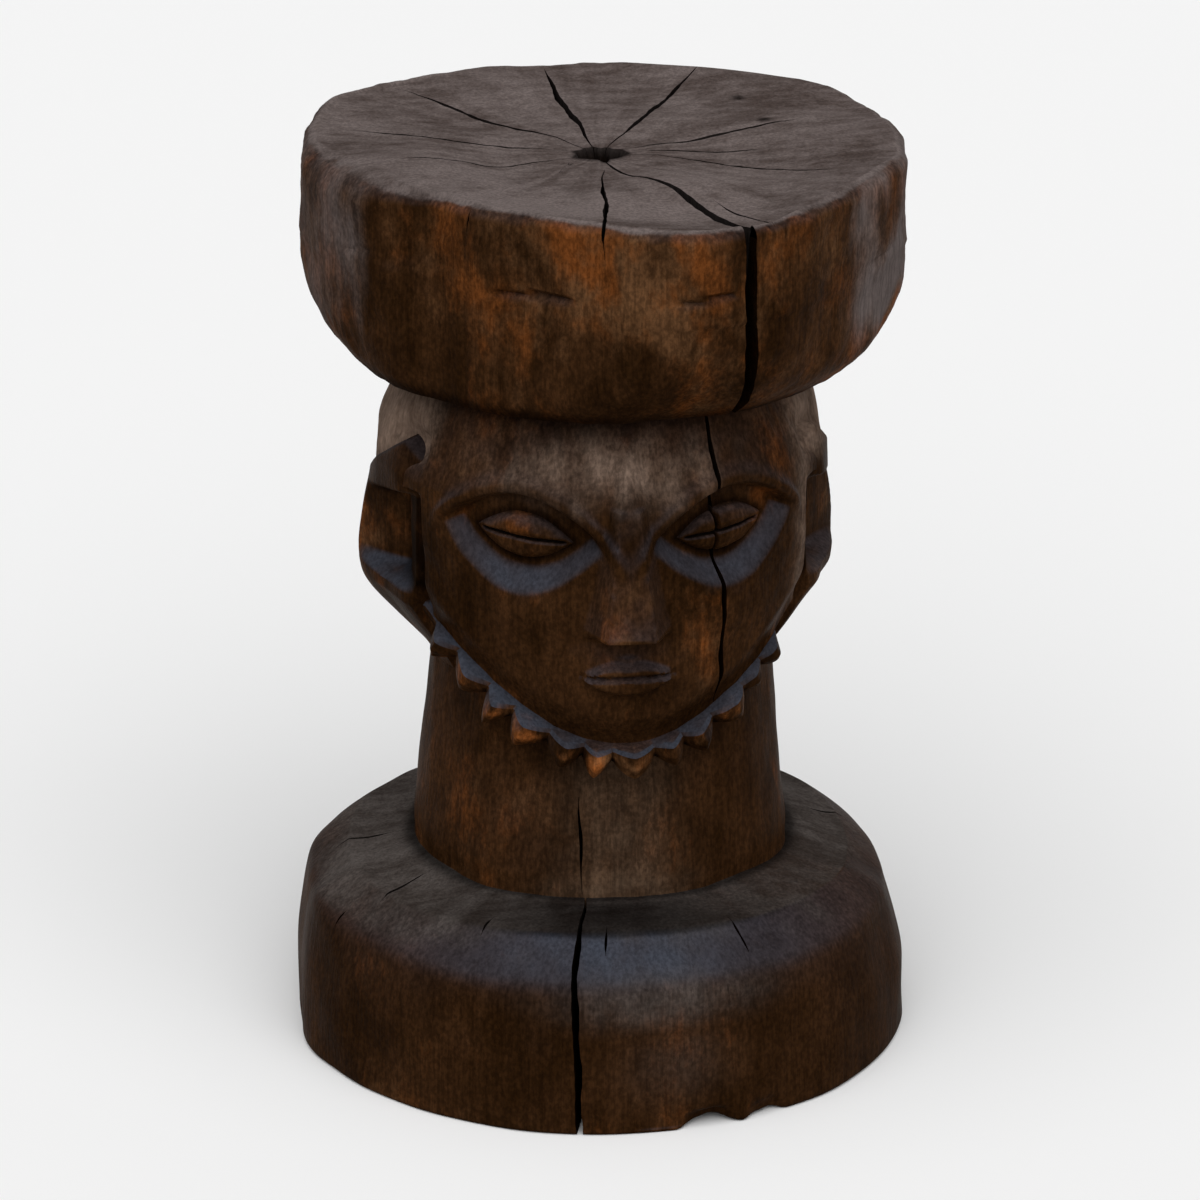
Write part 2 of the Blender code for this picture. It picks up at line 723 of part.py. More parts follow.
def main():
    for old in list(bpy.data.objects):
        bpy.data.objects.remove(old)
    parts = collection("carved_stool")
    guides = collection("cutters")
    root = bpy.data.objects.new("stool", None)
    parts.objects.link(root)
    dark = (0.045, 0.026, 0.014)
    worn = (0.085, 0.040, 0.016)
    finish(build_base(parts, guides), root, dark, 0.42)
    finish(build_neck(parts), root, dark, 0.45)
    finish(build_head(parts, guides), root, dark, 0.40)
    for side, word in ((-1, "left"), (1, "right")):
        finish(build_eye(side, word + "_eye", parts, guides), root, dark, 0.40)
        finish(build_ear(side, word + "_ear", parts, guides), root, dark, 0.42)
    finish(build_beard(parts, guides), root, worn, 0.45)
    finish(build_seat(parts, guides), root, worn, 0.55)


main()
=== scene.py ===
"""Finished looks of the carved log stool: each member's worked surface, its wood, the studio and camera.

Metres, +Z up. Bearings are angles about the log's axis: 0 is the front (-Y), and they grow towards +X.
Each member is a grid of points worked out as whole arrays. Rings run round the member, and rows of rings
run along it, from one pole to the other. A value for each row is a column, so that it spreads over its ring.

Every point carries four marks, from which the wood takes its colour: wear (rubbed to orange-brown, with
painted highlights and painted shade on one side of some members), painted shade (in cracks, hollows,
creases and under parts, and the wood's own dark in knots), grey (dry, bleached wood, and painted highlights)
and a painted cool sheen where the surface faces the sky.
"""

import math

import bpy
import numpy as np
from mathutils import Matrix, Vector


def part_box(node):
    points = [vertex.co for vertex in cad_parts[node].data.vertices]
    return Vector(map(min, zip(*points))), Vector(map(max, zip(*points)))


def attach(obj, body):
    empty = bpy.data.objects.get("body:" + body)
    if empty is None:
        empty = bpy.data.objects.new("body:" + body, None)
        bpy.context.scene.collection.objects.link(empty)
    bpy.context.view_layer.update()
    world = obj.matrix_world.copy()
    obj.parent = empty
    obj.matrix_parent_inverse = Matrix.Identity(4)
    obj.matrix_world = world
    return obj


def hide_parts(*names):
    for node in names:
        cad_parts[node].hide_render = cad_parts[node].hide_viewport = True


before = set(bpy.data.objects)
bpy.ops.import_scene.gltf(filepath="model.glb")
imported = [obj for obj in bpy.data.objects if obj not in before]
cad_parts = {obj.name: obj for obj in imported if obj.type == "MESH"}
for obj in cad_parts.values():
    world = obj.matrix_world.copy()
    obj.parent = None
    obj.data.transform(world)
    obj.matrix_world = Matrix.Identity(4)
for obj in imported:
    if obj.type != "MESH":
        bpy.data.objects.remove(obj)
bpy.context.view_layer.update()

# Heights and reaches that the frame gives

SEAT_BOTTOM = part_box("seat")[0][2]
SEAT_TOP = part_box("seat")[1][2]
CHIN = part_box("head")[0][2]
HEAD_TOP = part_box("head")[1][2]
BASE_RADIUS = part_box("base")[1][0]

# Seat

LOG_RADIUS = 0.158
HEWN_SHARPNESS = 26

# Flats hewn on the seat's side: bearing, depth below the log's round

SEAT_FLATS = np.array((
    (-42, 0.0410),
    (-74, 0.0250),
    (-27, 0.0335),
    (14, 0.0050),
    (34, 0.0100),
    (57, 0.0190),
    (95, 0.0110),
    (130, 0.0000),
    (152, 0.0110),
    (175, 0.0120),
    (-158, 0.0070),
    (-137, 0.0000),
    (-104, 0.0095),
))
SEAT_UNDER_RADIUS = 0.118
SEAT_WALL_HEIGHT = 0.045
SEAT_ROUND_HEIGHT = 0.055
SEAT_BULGE = 0.0048
SEAT_BULGE_OUT = 0.81
SEAT_BULGE_DOWN = 0.59
SEAT_FULL_SIDE = 0.9
SEAT_EDGE = 0.0065
SEAT_EDGE_ROLL = 1.6
SEAT_DISH = 0.0050
SEAT_PROUD = 0.0012
SEAT_FOOT_SUNK = 0.002
PITH_RADIUS = 0.0130
PITH_ARM = 1.8
PITH_DEPTH = 0.030

# Drying checks on the seat: bearing, hook of its inner end, where it starts and ends along the way from
# the pith over the rim and down the wall, half its opening, depth, and lean of its lower end

SEAT_CHECKS = (
    (-175, 5, 0.006, 0.143, 0.0015, 0.022, 0),
    (-143, -12, 0.006, 0.150, 0.0011, 0.018, 0),
    (-111, -10, 0.006, 0.138, 0.0009, 0.010, 0),
    (-80, 8, 0.006, 0.118, 0.0008, 0.009, 0),
    (-39, 20, 0.114, 0.134, 0.0006, 0.004, 0),
    (-25, -60, 0.006, 0.042, 0.0008, 0.008, 0),
    (-6, 6, 0.022, 0.160, 0.0010, 0.012, 0),
    (20.5, -26, 0.006, 0.340, 0.0029, 0.030, 3.2),
    (26.5, -26, 0.092, 0.150, 0.0006, 0.006, 2),
    (66, 30, 0.006, 0.128, 0.0009, 0.009, 0),
    (88, 16, 0.006, 0.085, 0.0007, 0.006, 0),
    (109, 14, 0.006, 0.118, 0.0010, 0.011, 0),
    (153, 4, 0.006, 0.150, 0.0012, 0.020, 0),
)

# Small knots on the end grain: bearing, radius, half width

SEAT_KNOTS = (
    (135, 0.1100, 0.0038),
    (114, 0.0930, 0.0042),
)

# Gouge cuts on the seat's wall: bearing, depth below the top, half length, half height, depth

SEAT_GOUGES = (
    (-22, 0.0395, 0.0310, 0.0026, 0.0026),
    (12.5, 0.0330, 0.0210, 0.0024, 0.0022),
    (-70, 0.0355, 0.0150, 0.0018, 0.0009),
    (64, 0.0420, 0.0200, 0.0022, 0.0010),
    (150, 0.0360, 0.0220, 0.0024, 0.0016),
    (-150, 0.0450, 0.0200, 0.0024, 0.0016),
)

# Grey faces on the seat's wall, dry wood lightened further as painted light where the sides face the sky:
# strength, and the bearings where it starts, is full, fades and is gone

SEAT_GREY_LIT_FACES = (
    (1.2, 38, 78, 86, 140),
    (0.66, -143.24, -108.86, -92, -60),
)

# Base

BASE_INSIDE = 0.080
BASE_FOOT_EDGE = 0.0022

# The base in section, from inside the neck over the hollowed land, the bevel and the wall: radius, height

BASE_SECTION = np.array((
    (BASE_INSIDE, 0.1000),
    (0.0940, 0.0985),
    (0.1020, 0.0960),
    (0.1140, 0.0952),
    (0.1255, 0.0955),
    (0.1300, 0.0926),
    (0.1434, 0.0820),
    (0.1488, 0.0752),
    (0.1508, 0.0640),
    (0.1513, 0.0520),
    (0.1518, 0.0300),
    (BASE_RADIUS, BASE_FOOT_EDGE),
))
BASE_SOLE_RISE = 0.0004
WORN_SIDE = math.radians(84)
WORN_SIDE_DEPTH = 0.0040
WORN_BACK_DEPTH = 0.0035

# Drying checks on the base, in the seat's terms

BASE_CHECKS = (
    (-146, 0, 0.100, 0.150, 0.0007, 0.008, 0),
    (-95, 0, 0.100, 0.138, 0.0008, 0.008, 0),
    (-69, 0, 0.146, 0.159, 0.0006, 0.006, 0),
    (-63, 0, 0.098, 0.136, 0.0007, 0.010, 0),
    (-33, 0, 0.119, 0.134, 0.0006, 0.007, -3),
    (-11.5, 0, 0.060, 0.300, 0.0016, 0.030, 1.5),
    (-5.4, 0, 0.124, 0.140, 0.0005, 0.005, 0),
    (23.5, 0, 0.124, 0.147, 0.0007, 0.007, -3),
    (100, 0, 0.105, 0.140, 0.0007, 0.007, 0),
    (128, 0, 0.096, 0.215, 0.0014, 0.016, 4),
)

# Chips along the foot's edge: bearing, half width in degrees, rise, bite

FOOT_CHIPS = (
    (13.5, 6.5, 0.0042, 0.0060),
    (25.0, 5.0, 0.0020, 0.0035),
    (96, 7.0, 0.0030, 0.0040),
    (-160, 8.0, 0.0034, 0.0050),
)

# Neck

NECK_FOOT = 0.0985
NECK_SUNK = 0.006
NECK_FOOT_RADIUS = 0.0935
NECK_TOP_RADIUS = 0.0835
NECK_FLARE_HEIGHT = 0.11
NECK_INSIDE_HEAD = 0.255
NECK_CHECK = (-13.0, 0, 0.0, 0.055, 0.0007, 0.008, 3.5)

# Head: the barrel, and a face on the canon of halves and thirds

HEAD_RADIUS = 0.109
HEAD_TOP_RADIUS = 0.094
HEAD_SUNK = 0.006
JAW_RADIUS = 0.102
JAW_RISE = 0.062
JAW_HALF_WIDTH = 0.093
JAW_INSIDE = 0.078
JAW_TUCK = 0.010
NAPE = CHIN + 0.058
CROWN = HEAD_TOP + 0.043
EYE_LINE = (CROWN + CHIN) / 2
FACE_THIRD = (CROWN - CHIN) * 6 / 7 / 3
BROW_LINE = CHIN + 2 * FACE_THIRD
NOSE_BASE = CHIN + FACE_THIRD
MOUTH_LINE = NOSE_BASE - FACE_THIRD / 3
EYE_ACROSS = math.radians(28) * HEAD_RADIUS
EYE_HALF_WIDTH = 0.0265
EYE_HALF_HEIGHT = 0.0115
EYE_TILT = math.radians(4)
EYE_SWELL = 0.0062
EYE_BACK = 0.007
EYE_CHECK_DEPTH = 0.0050
SOCKET_HALF_WIDTH = 0.0440
SOCKET_RISE = 0.0235
SOCKET_FALL = 0.0275
SOCKET_DEPTH = 0.0090
BROW_REACH = 1.25 * SOCKET_HALF_WIDTH
NOSE_BRIDGE = BROW_LINE + 0.004
NOSE_BRIDGE_HALF = 0.0098
NOSE_BRIDGE_STAND = 0.0060
NOSE_STAND = 0.0195
NOSE_RIDGE_HEIGHT = 0.036
LIP_HALF_WIDTH = 0.0245
LIP_STAND = 0.0046
UPPER_LIP = 0.0088
LOWER_LIP = 0.0098

# Soft mounds of mouth, chin and cheeks: how far they stand out, then across and up, middle and half width

FACE_MOUNDS = (
    (0.0058, 0.000, 0.034, MOUTH_LINE, 0.019),
    (0.0040, 0.000, 0.024, CHIN + 0.016, 0.012),
    (0.0030, 0.050, 0.022, NOSE_BASE + 0.008, 0.018),
)
HEAD_CHECK_TOP = 23.5
HEAD_CHECK_FOOT = 26.5
HEAD_CHECK_HALF = 0.0011
HEAD_CHECK_DEPTH = 0.012
HEAD_CHECK_CLOSED = 0.00013

# Ears

EAR_FRONT = math.radians(58)
EAR_GROOVE = math.radians(81)
EAR_RIM = math.radians(97)
EAR_BACK = math.radians(118)
EAR_TOP = 0.3225
EAR_PEAK = math.radians(68)
EAR_ARM_DROP = 0.060
EAR_NOSE_DROP = 0.062
EAR_HOLLOW_FRONT = math.radians(64)
EAR_HOLLOW_TOP = 0.2935
EAR_HOLLOW_DROP = 0.024
EAR_LEDGE = 0.2455
EAR_LOBE_LOW = 0.1960
EAR_LOBE_TURN = math.radians(66)
EAR_LOBE_NOSE = 0.26
EAR_LOBE_HEIGHT = 0.040
EAR_FLARE = 0.0092
EAR_FLARE_START = math.radians(75)
EAR_FLARE_FULL = math.radians(98)
EAR_FLARE_END = math.radians(101)
EAR_PROUD = 0.0014
EAR_FRONT_DROP = 0.0050
EAR_GROOVE_RADIUS = 0.0944
EAR_RIM_RADIUS = 0.1168
EAR_INSIDE = 0.078
EAR_SUNK = 0.0815

# Beard

BEARD_HALF_ANGLE = math.radians(66)
BEARD_FIRST = math.radians(-56.5)
BEARD_LAST = math.radians(60.5)
BEARD_TEETH = 13
BEARD_FADES = math.radians(36)
BEARD_FADED = math.radians(62)
BEARD_THIN = 0.16
WORN_TOOTH = 10
WORN_TOOTH_SIZE = 0.40

# The beard in section, from under the cheek out over the ledge, the tooth and back to the neck: radius
# between the teeth, more radius at a tooth, fall between the teeth, more fall at a tooth

BEARD_SECTION = np.array((
    (0.0860, 0.0000, -0.0006, 0.0000),
    (0.0950, 0.0000, -0.0022, 0.0000),
    (0.1015, 0.0066, -0.0004, 0.0006),
    (0.1028, 0.0088, 0.0012, 0.0006),
    (0.1018, 0.0092, 0.0046, 0.0044),
    (0.0995, 0.0084, 0.0066, 0.0080),
    (0.0965, 0.0030, 0.0076, 0.0058),
    (0.0900, 0.0000, 0.0086, 0.0010),
    (0.0780, 0.0000, 0.0040, 0.0000),
))
BEARD_TRACK = 0.106
BEARD_CORE = 0.092
BEARD_CORE_FALL = 0.003

# Checks: where the painted dark edge ends and columns run, in shares of the half width, the half width from
# which edges get straighter, the reach of a hook, and the half width at which a check counts as closed

CHECK_EDGE = 1.12
CHECK_KEYS = (-1.7, -CHECK_EDGE, -1.0, -0.72, -0.35, 0.0, 0.35, 0.72, 1.0, CHECK_EDGE, 1.7)
CHECK_STRAIGHT = 0.0011
CHECK_HOOK = 0.028
CHECK_CLOSED = 0.00012

# Rows and columns of the grids, and the step between columns apart from the checks

SEAT_ROWS = (10, 76, 8, 20, 28, 3)
BASE_ROWS = 104
NECK_ROWS = 92
HEAD_ROWS = 176
JAW_ROWS = 10
HEAD_COLUMNS = (70, 165, 82, 70, 84)
EYE_ROWS = 92
EYE_LID_COLUMNS = 22
EAR_ROWS = 118
EAR_COLUMNS = 120
BEARD_ROWS = 301
BEARD_COLUMNS = 54
COLUMN_STEP = 0.0021
NECK_COLUMN_STEP = 0.0022

# Wood colours: patina, the ground it lies on, rubbed wood, dry wood, the colours of painted highlights, and
# the painted sky sheen

PATINA = (0.0190, 0.0078, 0.0024)
BROWN = (0.0470, 0.0200, 0.0075)
# A darker brown for the base.
DARKER_BROWN = tuple(0.86 * part for part in BROWN)
WORN = (0.1300, 0.0510, 0.0195)
WORN_RUST = (1.22, 0.96, 0.60)
WORN_TAN = (0.84, 1.00, 1.12)
# The beard's rubbed colour, lightened as painted light on teeth that hang in shade.
BEARD_WORN_AND_PAINTED_LIGHT = tuple(2.3 * part for part in WORN)
DRY = (0.1090, 0.0880, 0.0830)
# Dust on the base's land, and the colour of the painted highlights on its wall.
DUST_AND_HIGHLIGHT = (0.0700, 0.0600, 0.0550)
# Dry grey of the temples and ears, and the colour of painted highlights on the head.
TEMPLE_GREY_AND_HIGHLIGHT = (0.2020, 0.1420, 0.1080)
# Colour of the painted highlight on the neck.
PAINTED_NECK_HIGHLIGHT = (0.1150, 0.0740, 0.0480)
DRY_SHADED = (0.50, 0.45, 0.42)
DRY_LIT = 1.34
# Colour of the painted cool sheen of sky on up-facing slopes.
SHEEN = (0.0420, 0.0475, 0.0630)
CRACK_SHADE = 0.14
WOOD_SPECULAR = 0.006
WOOD_DRY_ROUGHNESS = 0.70

# Wood of each member: ground, rubbed and dry colour, and roughness where it is oiled. The dry colour of
# head, ear, neck and base also gives their painted highlights.

WOODS = {
    "seat": (BROWN, WORN, DRY, 0.50),
    "head": (BROWN, WORN, TEMPLE_GREY_AND_HIGHLIGHT, 0.42),
    "beard": (BROWN, BEARD_WORN_AND_PAINTED_LIGHT, DUST_AND_HIGHLIGHT, 0.45),
    "neck": (BROWN, WORN, PAINTED_NECK_HIGHLIGHT, 0.45),
    "base": (DARKER_BROWN, WORN, DUST_AND_HIGHLIGHT, 0.42),
    "ear": (BROWN, WORN, TEMPLE_GREY_AND_HIGHLIGHT, 0.45),
    "eye": (BROWN, WORN, DUST_AND_HIGHLIGHT, 0.42),
}

# Noise in the wood: stretch, scale, detail, roughness, turn

GRAIN = {
    "fine": ((1, 1, 0.05), 620, 4, 0.62, 0.0),
    "streak": ((1, 1, 0.12), 95, 4, 0.60, 0.0),
    "blotch": ((1, 1, 0.75), 24, 5, 0.62, 0.0),
    "speck": ((1, 1, 0.50), 170, 5, 0.70, 0.0),
    "cloud": ((1, 1, 1), 26, 5, 0.62, 0.0),
    "hue": ((1, 1, 0.70), 38, 4, 0.60, 0.0),
    "fleck": ((1, 1, 0.70), 480, 3, 0.60, 0.0),
    "sawn": ((0.30, 1, 1), 150, 4, 0.62, math.radians(8)),
}

# Studio: colours of floor and background, and lamps by energy, width, bearing and elevation

PALE = (0.90, 0.90, 0.90)
FLOOR_BOUNCE = (0.30, 0.29, 0.28)
FLOOR_HALF = 40.0
FLOOR_ROUGHNESS = 0.9
SKY_LAMP = (2.2, 75, -12, 62)
FRONT_LAMP = (0.85, 90, 14, 22)
ROOM_LIGHT = (1.0, 1.0, 1.0)
ROOM_STRENGTH = 0.28

# Camera, fitted to the photograph's view

CAMERA_BEARING = math.radians(-7)
CAMERA_DISTANCE = 2.6367
CAMERA_HEIGHT = 1.2341
CAMERA_PITCH = math.radians(21.09)
CAMERA_LENS = 172.54
CAMERA_SENSOR = 36


def place(bearing, radius, height):
    """Points from bearings, radii and heights: x = r sin b, y = -r cos b, z = height."""
    parts = np.broadcast_arrays(radius * np.sin(bearing), -radius * np.cos(bearing), height)
    return np.stack(parts, axis=-1)


def ease(low, high, value):
    """0 below low and 1 above high, with a smooth cubic step between."""
    share = np.clip((value - low) / (high - low), 0, 1)
    return share * share * (3 - 2 * share)


def fade(low, high, value):
    """1 below low and 0 above high, with the same step between."""
    return 1 - ease(low, high, value)


def band(value, rise, full, fall, gone):
    """1 from full to fall and 0 outside rise and gone, with smooth steps between."""
    return ease(rise, full, value) * fade(fall, gone, value)


def hump(value, middle, half):
    """A smooth hump: 1 at the middle, falling as a bell of that half width."""
    return np.exp(-(((value - middle) / half) ** 2))


def around(turned, middle, half):
    """A hump by bearing, with its middle in degrees and its half width in radians."""
    return hump(turned, math.radians(middle), half)


def strongest(*layers):
    """The greatest of several layers, point by point."""
    return np.maximum.reduce(np.broadcast_arrays(*layers))


def waves(points, length, seed, upright=1.0, count=26):
    """Smooth noise about 0: a sum of plane waves near one wavelength, in seeded directions and phases.

    Where upright is below 1, heights count for less, and the noise is drawn out along the log.
    """
    draw = np.random.default_rng(seed)
    ways = draw.normal(size=(3, count))
    ways *= 2 * math.pi / (length * draw.uniform(0.7, 1.5, count) * np.linalg.norm(ways, axis=0))
    phases = draw.uniform(0, 2 * math.pi, count)
    return np.cos((points * (1, 1, upright)) @ ways + phases).sum(axis=-1) * math.sqrt(2 / count)


def soft_least(first, second):
    """The lesser of two radii with a rounded corner between them: a mean with a high negative power."""
    return (first**-HEWN_SHARPNESS + second**-HEWN_SHARPNESS) ** (-1 / HEWN_SHARPNESS)


def rounded(section, count, times=3):
    """A section with its corners cut, time after time, at a quarter of each edge, then evenly spaced."""
    for _ in range(times):
        before = section[:-1]
        after = section[1:]
        cut = np.stack([0.75 * before + 0.25 * after, 0.25 * before + 0.75 * after], axis=1)
        section = np.concatenate([section[:1], cut.reshape(-1, 2), section[-1:]])
    way = np.concatenate([[0], np.cumsum(np.hypot(*np.diff(section, axis=0).T))])
    even = np.linspace(0, way[-1], count)
    return np.interp(even, way, section[:, 0]), np.interp(even, way, section[:, 1]), even


def nearest_turn(angle):
    """The same angle between half a turn back and half a turn on."""
    return (angle + math.pi) % (2 * math.pi) - math.pi


def columns(stations, counts):
    """Bearings, row by row: counts[k] even steps from station k to the next, and on round to the first."""
    onward = stations[1:] + [stations[0] + 2 * math.pi]
    parts = []
    for here, there, count in zip(stations, onward, counts):
        share = np.arange(count) / count
        parts.append(here[:, None] + (there - here)[:, None] * share)
    return np.concatenate(parts, axis=1)


def check_fall(across):
    """How deep a check is at a share of its half width: steep sides and a narrow floor."""
    return np.interp(np.abs(across), (0, 0.35, 0.72, 1.0), (1.0, 0.86, 0.50, 0.0))


def check_run(check, way, seed):
    """Middle bearing, waver, half width and depth of a check for every row, by how far along its way it is.

    It opens fast and then slowly, closes over its last third, and wavers by a few slow sines. A wide check
    has straighter edges than a thin one.
    """
    bearing, hook, start, end, half, depth, lean = check
    share = (way - start) / (end - start)
    opening = ease(0, 0.05, share) * (0.24 + 0.76 * ease(0.08, 0.42, share))
    opening = opening * fade(0.62, 1.0, share) ** 0.8
    middle = np.radians(bearing + hook * np.exp(-way / CHECK_HOOK) + lean * ease(0.17, 0.27, way))
    rough = min(1.0, CHECK_STRAIGHT / half)
    waver = 0.0008 * np.sin(way * 75 + seed) + 0.0003 * np.sin(way * 190 + 2.3 * seed)
    waver = waver * (0.35 + 0.65 * rough)
    ragged = 1 + rough * (0.20 * np.sin(way * 210 + 1.7 * seed) + 0.10 * np.sin(way * 620 + seed))
    return middle, waver, half * opening * ragged, depth * np.sqrt(opening)


def checked_columns(checks, ways, radii, step):
    """Bearings with columns that follow every check's edges, the checks' depth there, and the painted shade
    inside them.
    """
    runs = []
    for index, (check, way, radius) in enumerate(zip(checks, ways, radii.T)):
        middle, waver, half, depth = check_run(check, way, index + 1.0)
        middle = middle + waver / np.maximum(radius, 0.03)
        black = ease(0.0001, 0.0004, half)
        depth = depth * (half > CHECK_CLOSED)
        runs.append((middle, np.maximum(half, CHECK_CLOSED) / radius, depth, black))
    stations = []
    counts = []
    for index, (middle, half, _, _) in enumerate(runs):
        stations += [middle + half * key for key in CHECK_KEYS]
        after = runs[(index + 1) % len(runs)][0].mean() + 2 * math.pi * (index + 1 == len(runs))
        gap = (after - middle.mean()) * radii.max()
        counts += [1] * (len(CHECK_KEYS) - 1) + [max(4, round(gap / step))]
    bearing = columns(stations, counts)
    cut = np.zeros_like(bearing)
    dark = np.zeros_like(bearing)
    for middle, half, depth, black in runs:
        across = np.abs(nearest_turn(bearing - middle[:, None])) / half[:, None]
        cut = np.maximum(cut, depth[:, None] * check_fall(across))
        dark = np.maximum(dark, black[:, None] * fade(1.0, CHECK_EDGE, across))
    return bearing, cut, dark


def carved(name, grid, first, last, marks, sharp=42):
    """A closed mesh from rows of closed rings, with a pole before the first and after the last.

    marks are values for every grid point (wear with some painted light, painted shade, grey with painted
    highlights, and the share of painted sheen), kept as attributes. The sign of the enclosed volume tells
    whether the faces look out, and they are turned if they don't.
    """
    rows, count = grid.shape[:2]
    points = np.concatenate([grid.reshape(-1, 3), [first, last]])
    index = np.arange(rows * count).reshape(rows, count)
    after = np.roll(index, -1, axis=1)
    quads = np.stack([index[:-1], index[1:], after[1:], after[:-1]], axis=-1).reshape(-1, 4)
    start = np.full(count, rows * count)
    caps = np.concatenate([
        np.stack([start, index[0], after[0]], axis=-1),
        np.stack([start + 1, after[-1], index[-1]], axis=-1),
    ])
    halves = np.concatenate([quads[:, :3], quads[:, [0, 2, 3]], caps])
    a, b, c = (points[halves[:, corner]] for corner in range(3))
    if np.einsum("ij,ij->i", a, np.cross(b, c)).sum() < 0:
        quads = quads[:, ::-1]
        caps = caps[:, ::-1]
    corners = np.concatenate([quads.ravel(), caps.ravel()])
    starts = np.concatenate([np.arange(len(quads)) * 4, len(quads) * 4 + np.arange(len(caps)) * 3])
    mesh = bpy.data.meshes.new(name)
    mesh.vertices.add(len(points))
    mesh.vertices.foreach_set("co", points.astype(np.float32).ravel())
    mesh.loops.add(len(corners))
    mesh.loops.foreach_set("vertex_index", corners.astype(np.int32))
    mesh.polygons.add(len(starts))
    mesh.polygons.foreach_set("loop_start", starts.astype(np.int32))
    mesh.update(calc_edges=True)
    mesh.validate()
    for mark, values in marks.items():
        flat = np.concatenate([np.broadcast_to(values, (rows, count)).ravel(), [0, 0]])
        layer = mesh.attributes.new(name=mark, type="FLOAT", domain="POINT")
        layer.data.foreach_set("value", flat.astype(np.float32))
    mesh.shade_smooth()
    mesh.set_sharp_from_angle(angle=math.radians(sharp))
    made = bpy.data.objects.new(name, mesh)
    bpy.context.scene.collection.objects.link(made)
    return made


def backed(front, back):
    """A mark for a grid whose rings run over the front and then over the hidden back, at one value."""
    return np.concatenate([front, np.full_like(front, back)], axis=1)


def rim_radius(bearing):
    """The hewn rim in plan: a soft polygon, the softened least of the flats' distances along a bearing."""
    towards = np.cos(bearing[..., None] - np.radians(SEAT_FLATS[:, 0]))
    distances = (LOG_RADIUS - SEAT_FLATS[:, 1]) / np.maximum(towards, 0.05)
    return (distances**-HEWN_SHARPNESS).sum(axis=-1) ** (-1 / HEWN_SHARPNESS)


def gouges(bearing, drop, radius):
    """Stop cuts on the wall: deepest along the upper edge, slanting out to the surface below."""
    depth = np.zeros_like(bearing)
    for middle, level, half_length, half_height, deep in SEAT_GOUGES:
        along = nearest_turn(bearing - math.radians(middle)) * radius / half_length
        across = (drop - level + 0.0025 * along) / (half_height * np.sqrt(np.clip(1 - along**2, 0.02, 1)))
        inside = band(across, -1.35, -0.9, -0.9, 1.0)
        depth += deep * inside * ease(0.10, 0.5, 1 - np.abs(along))
    return depth


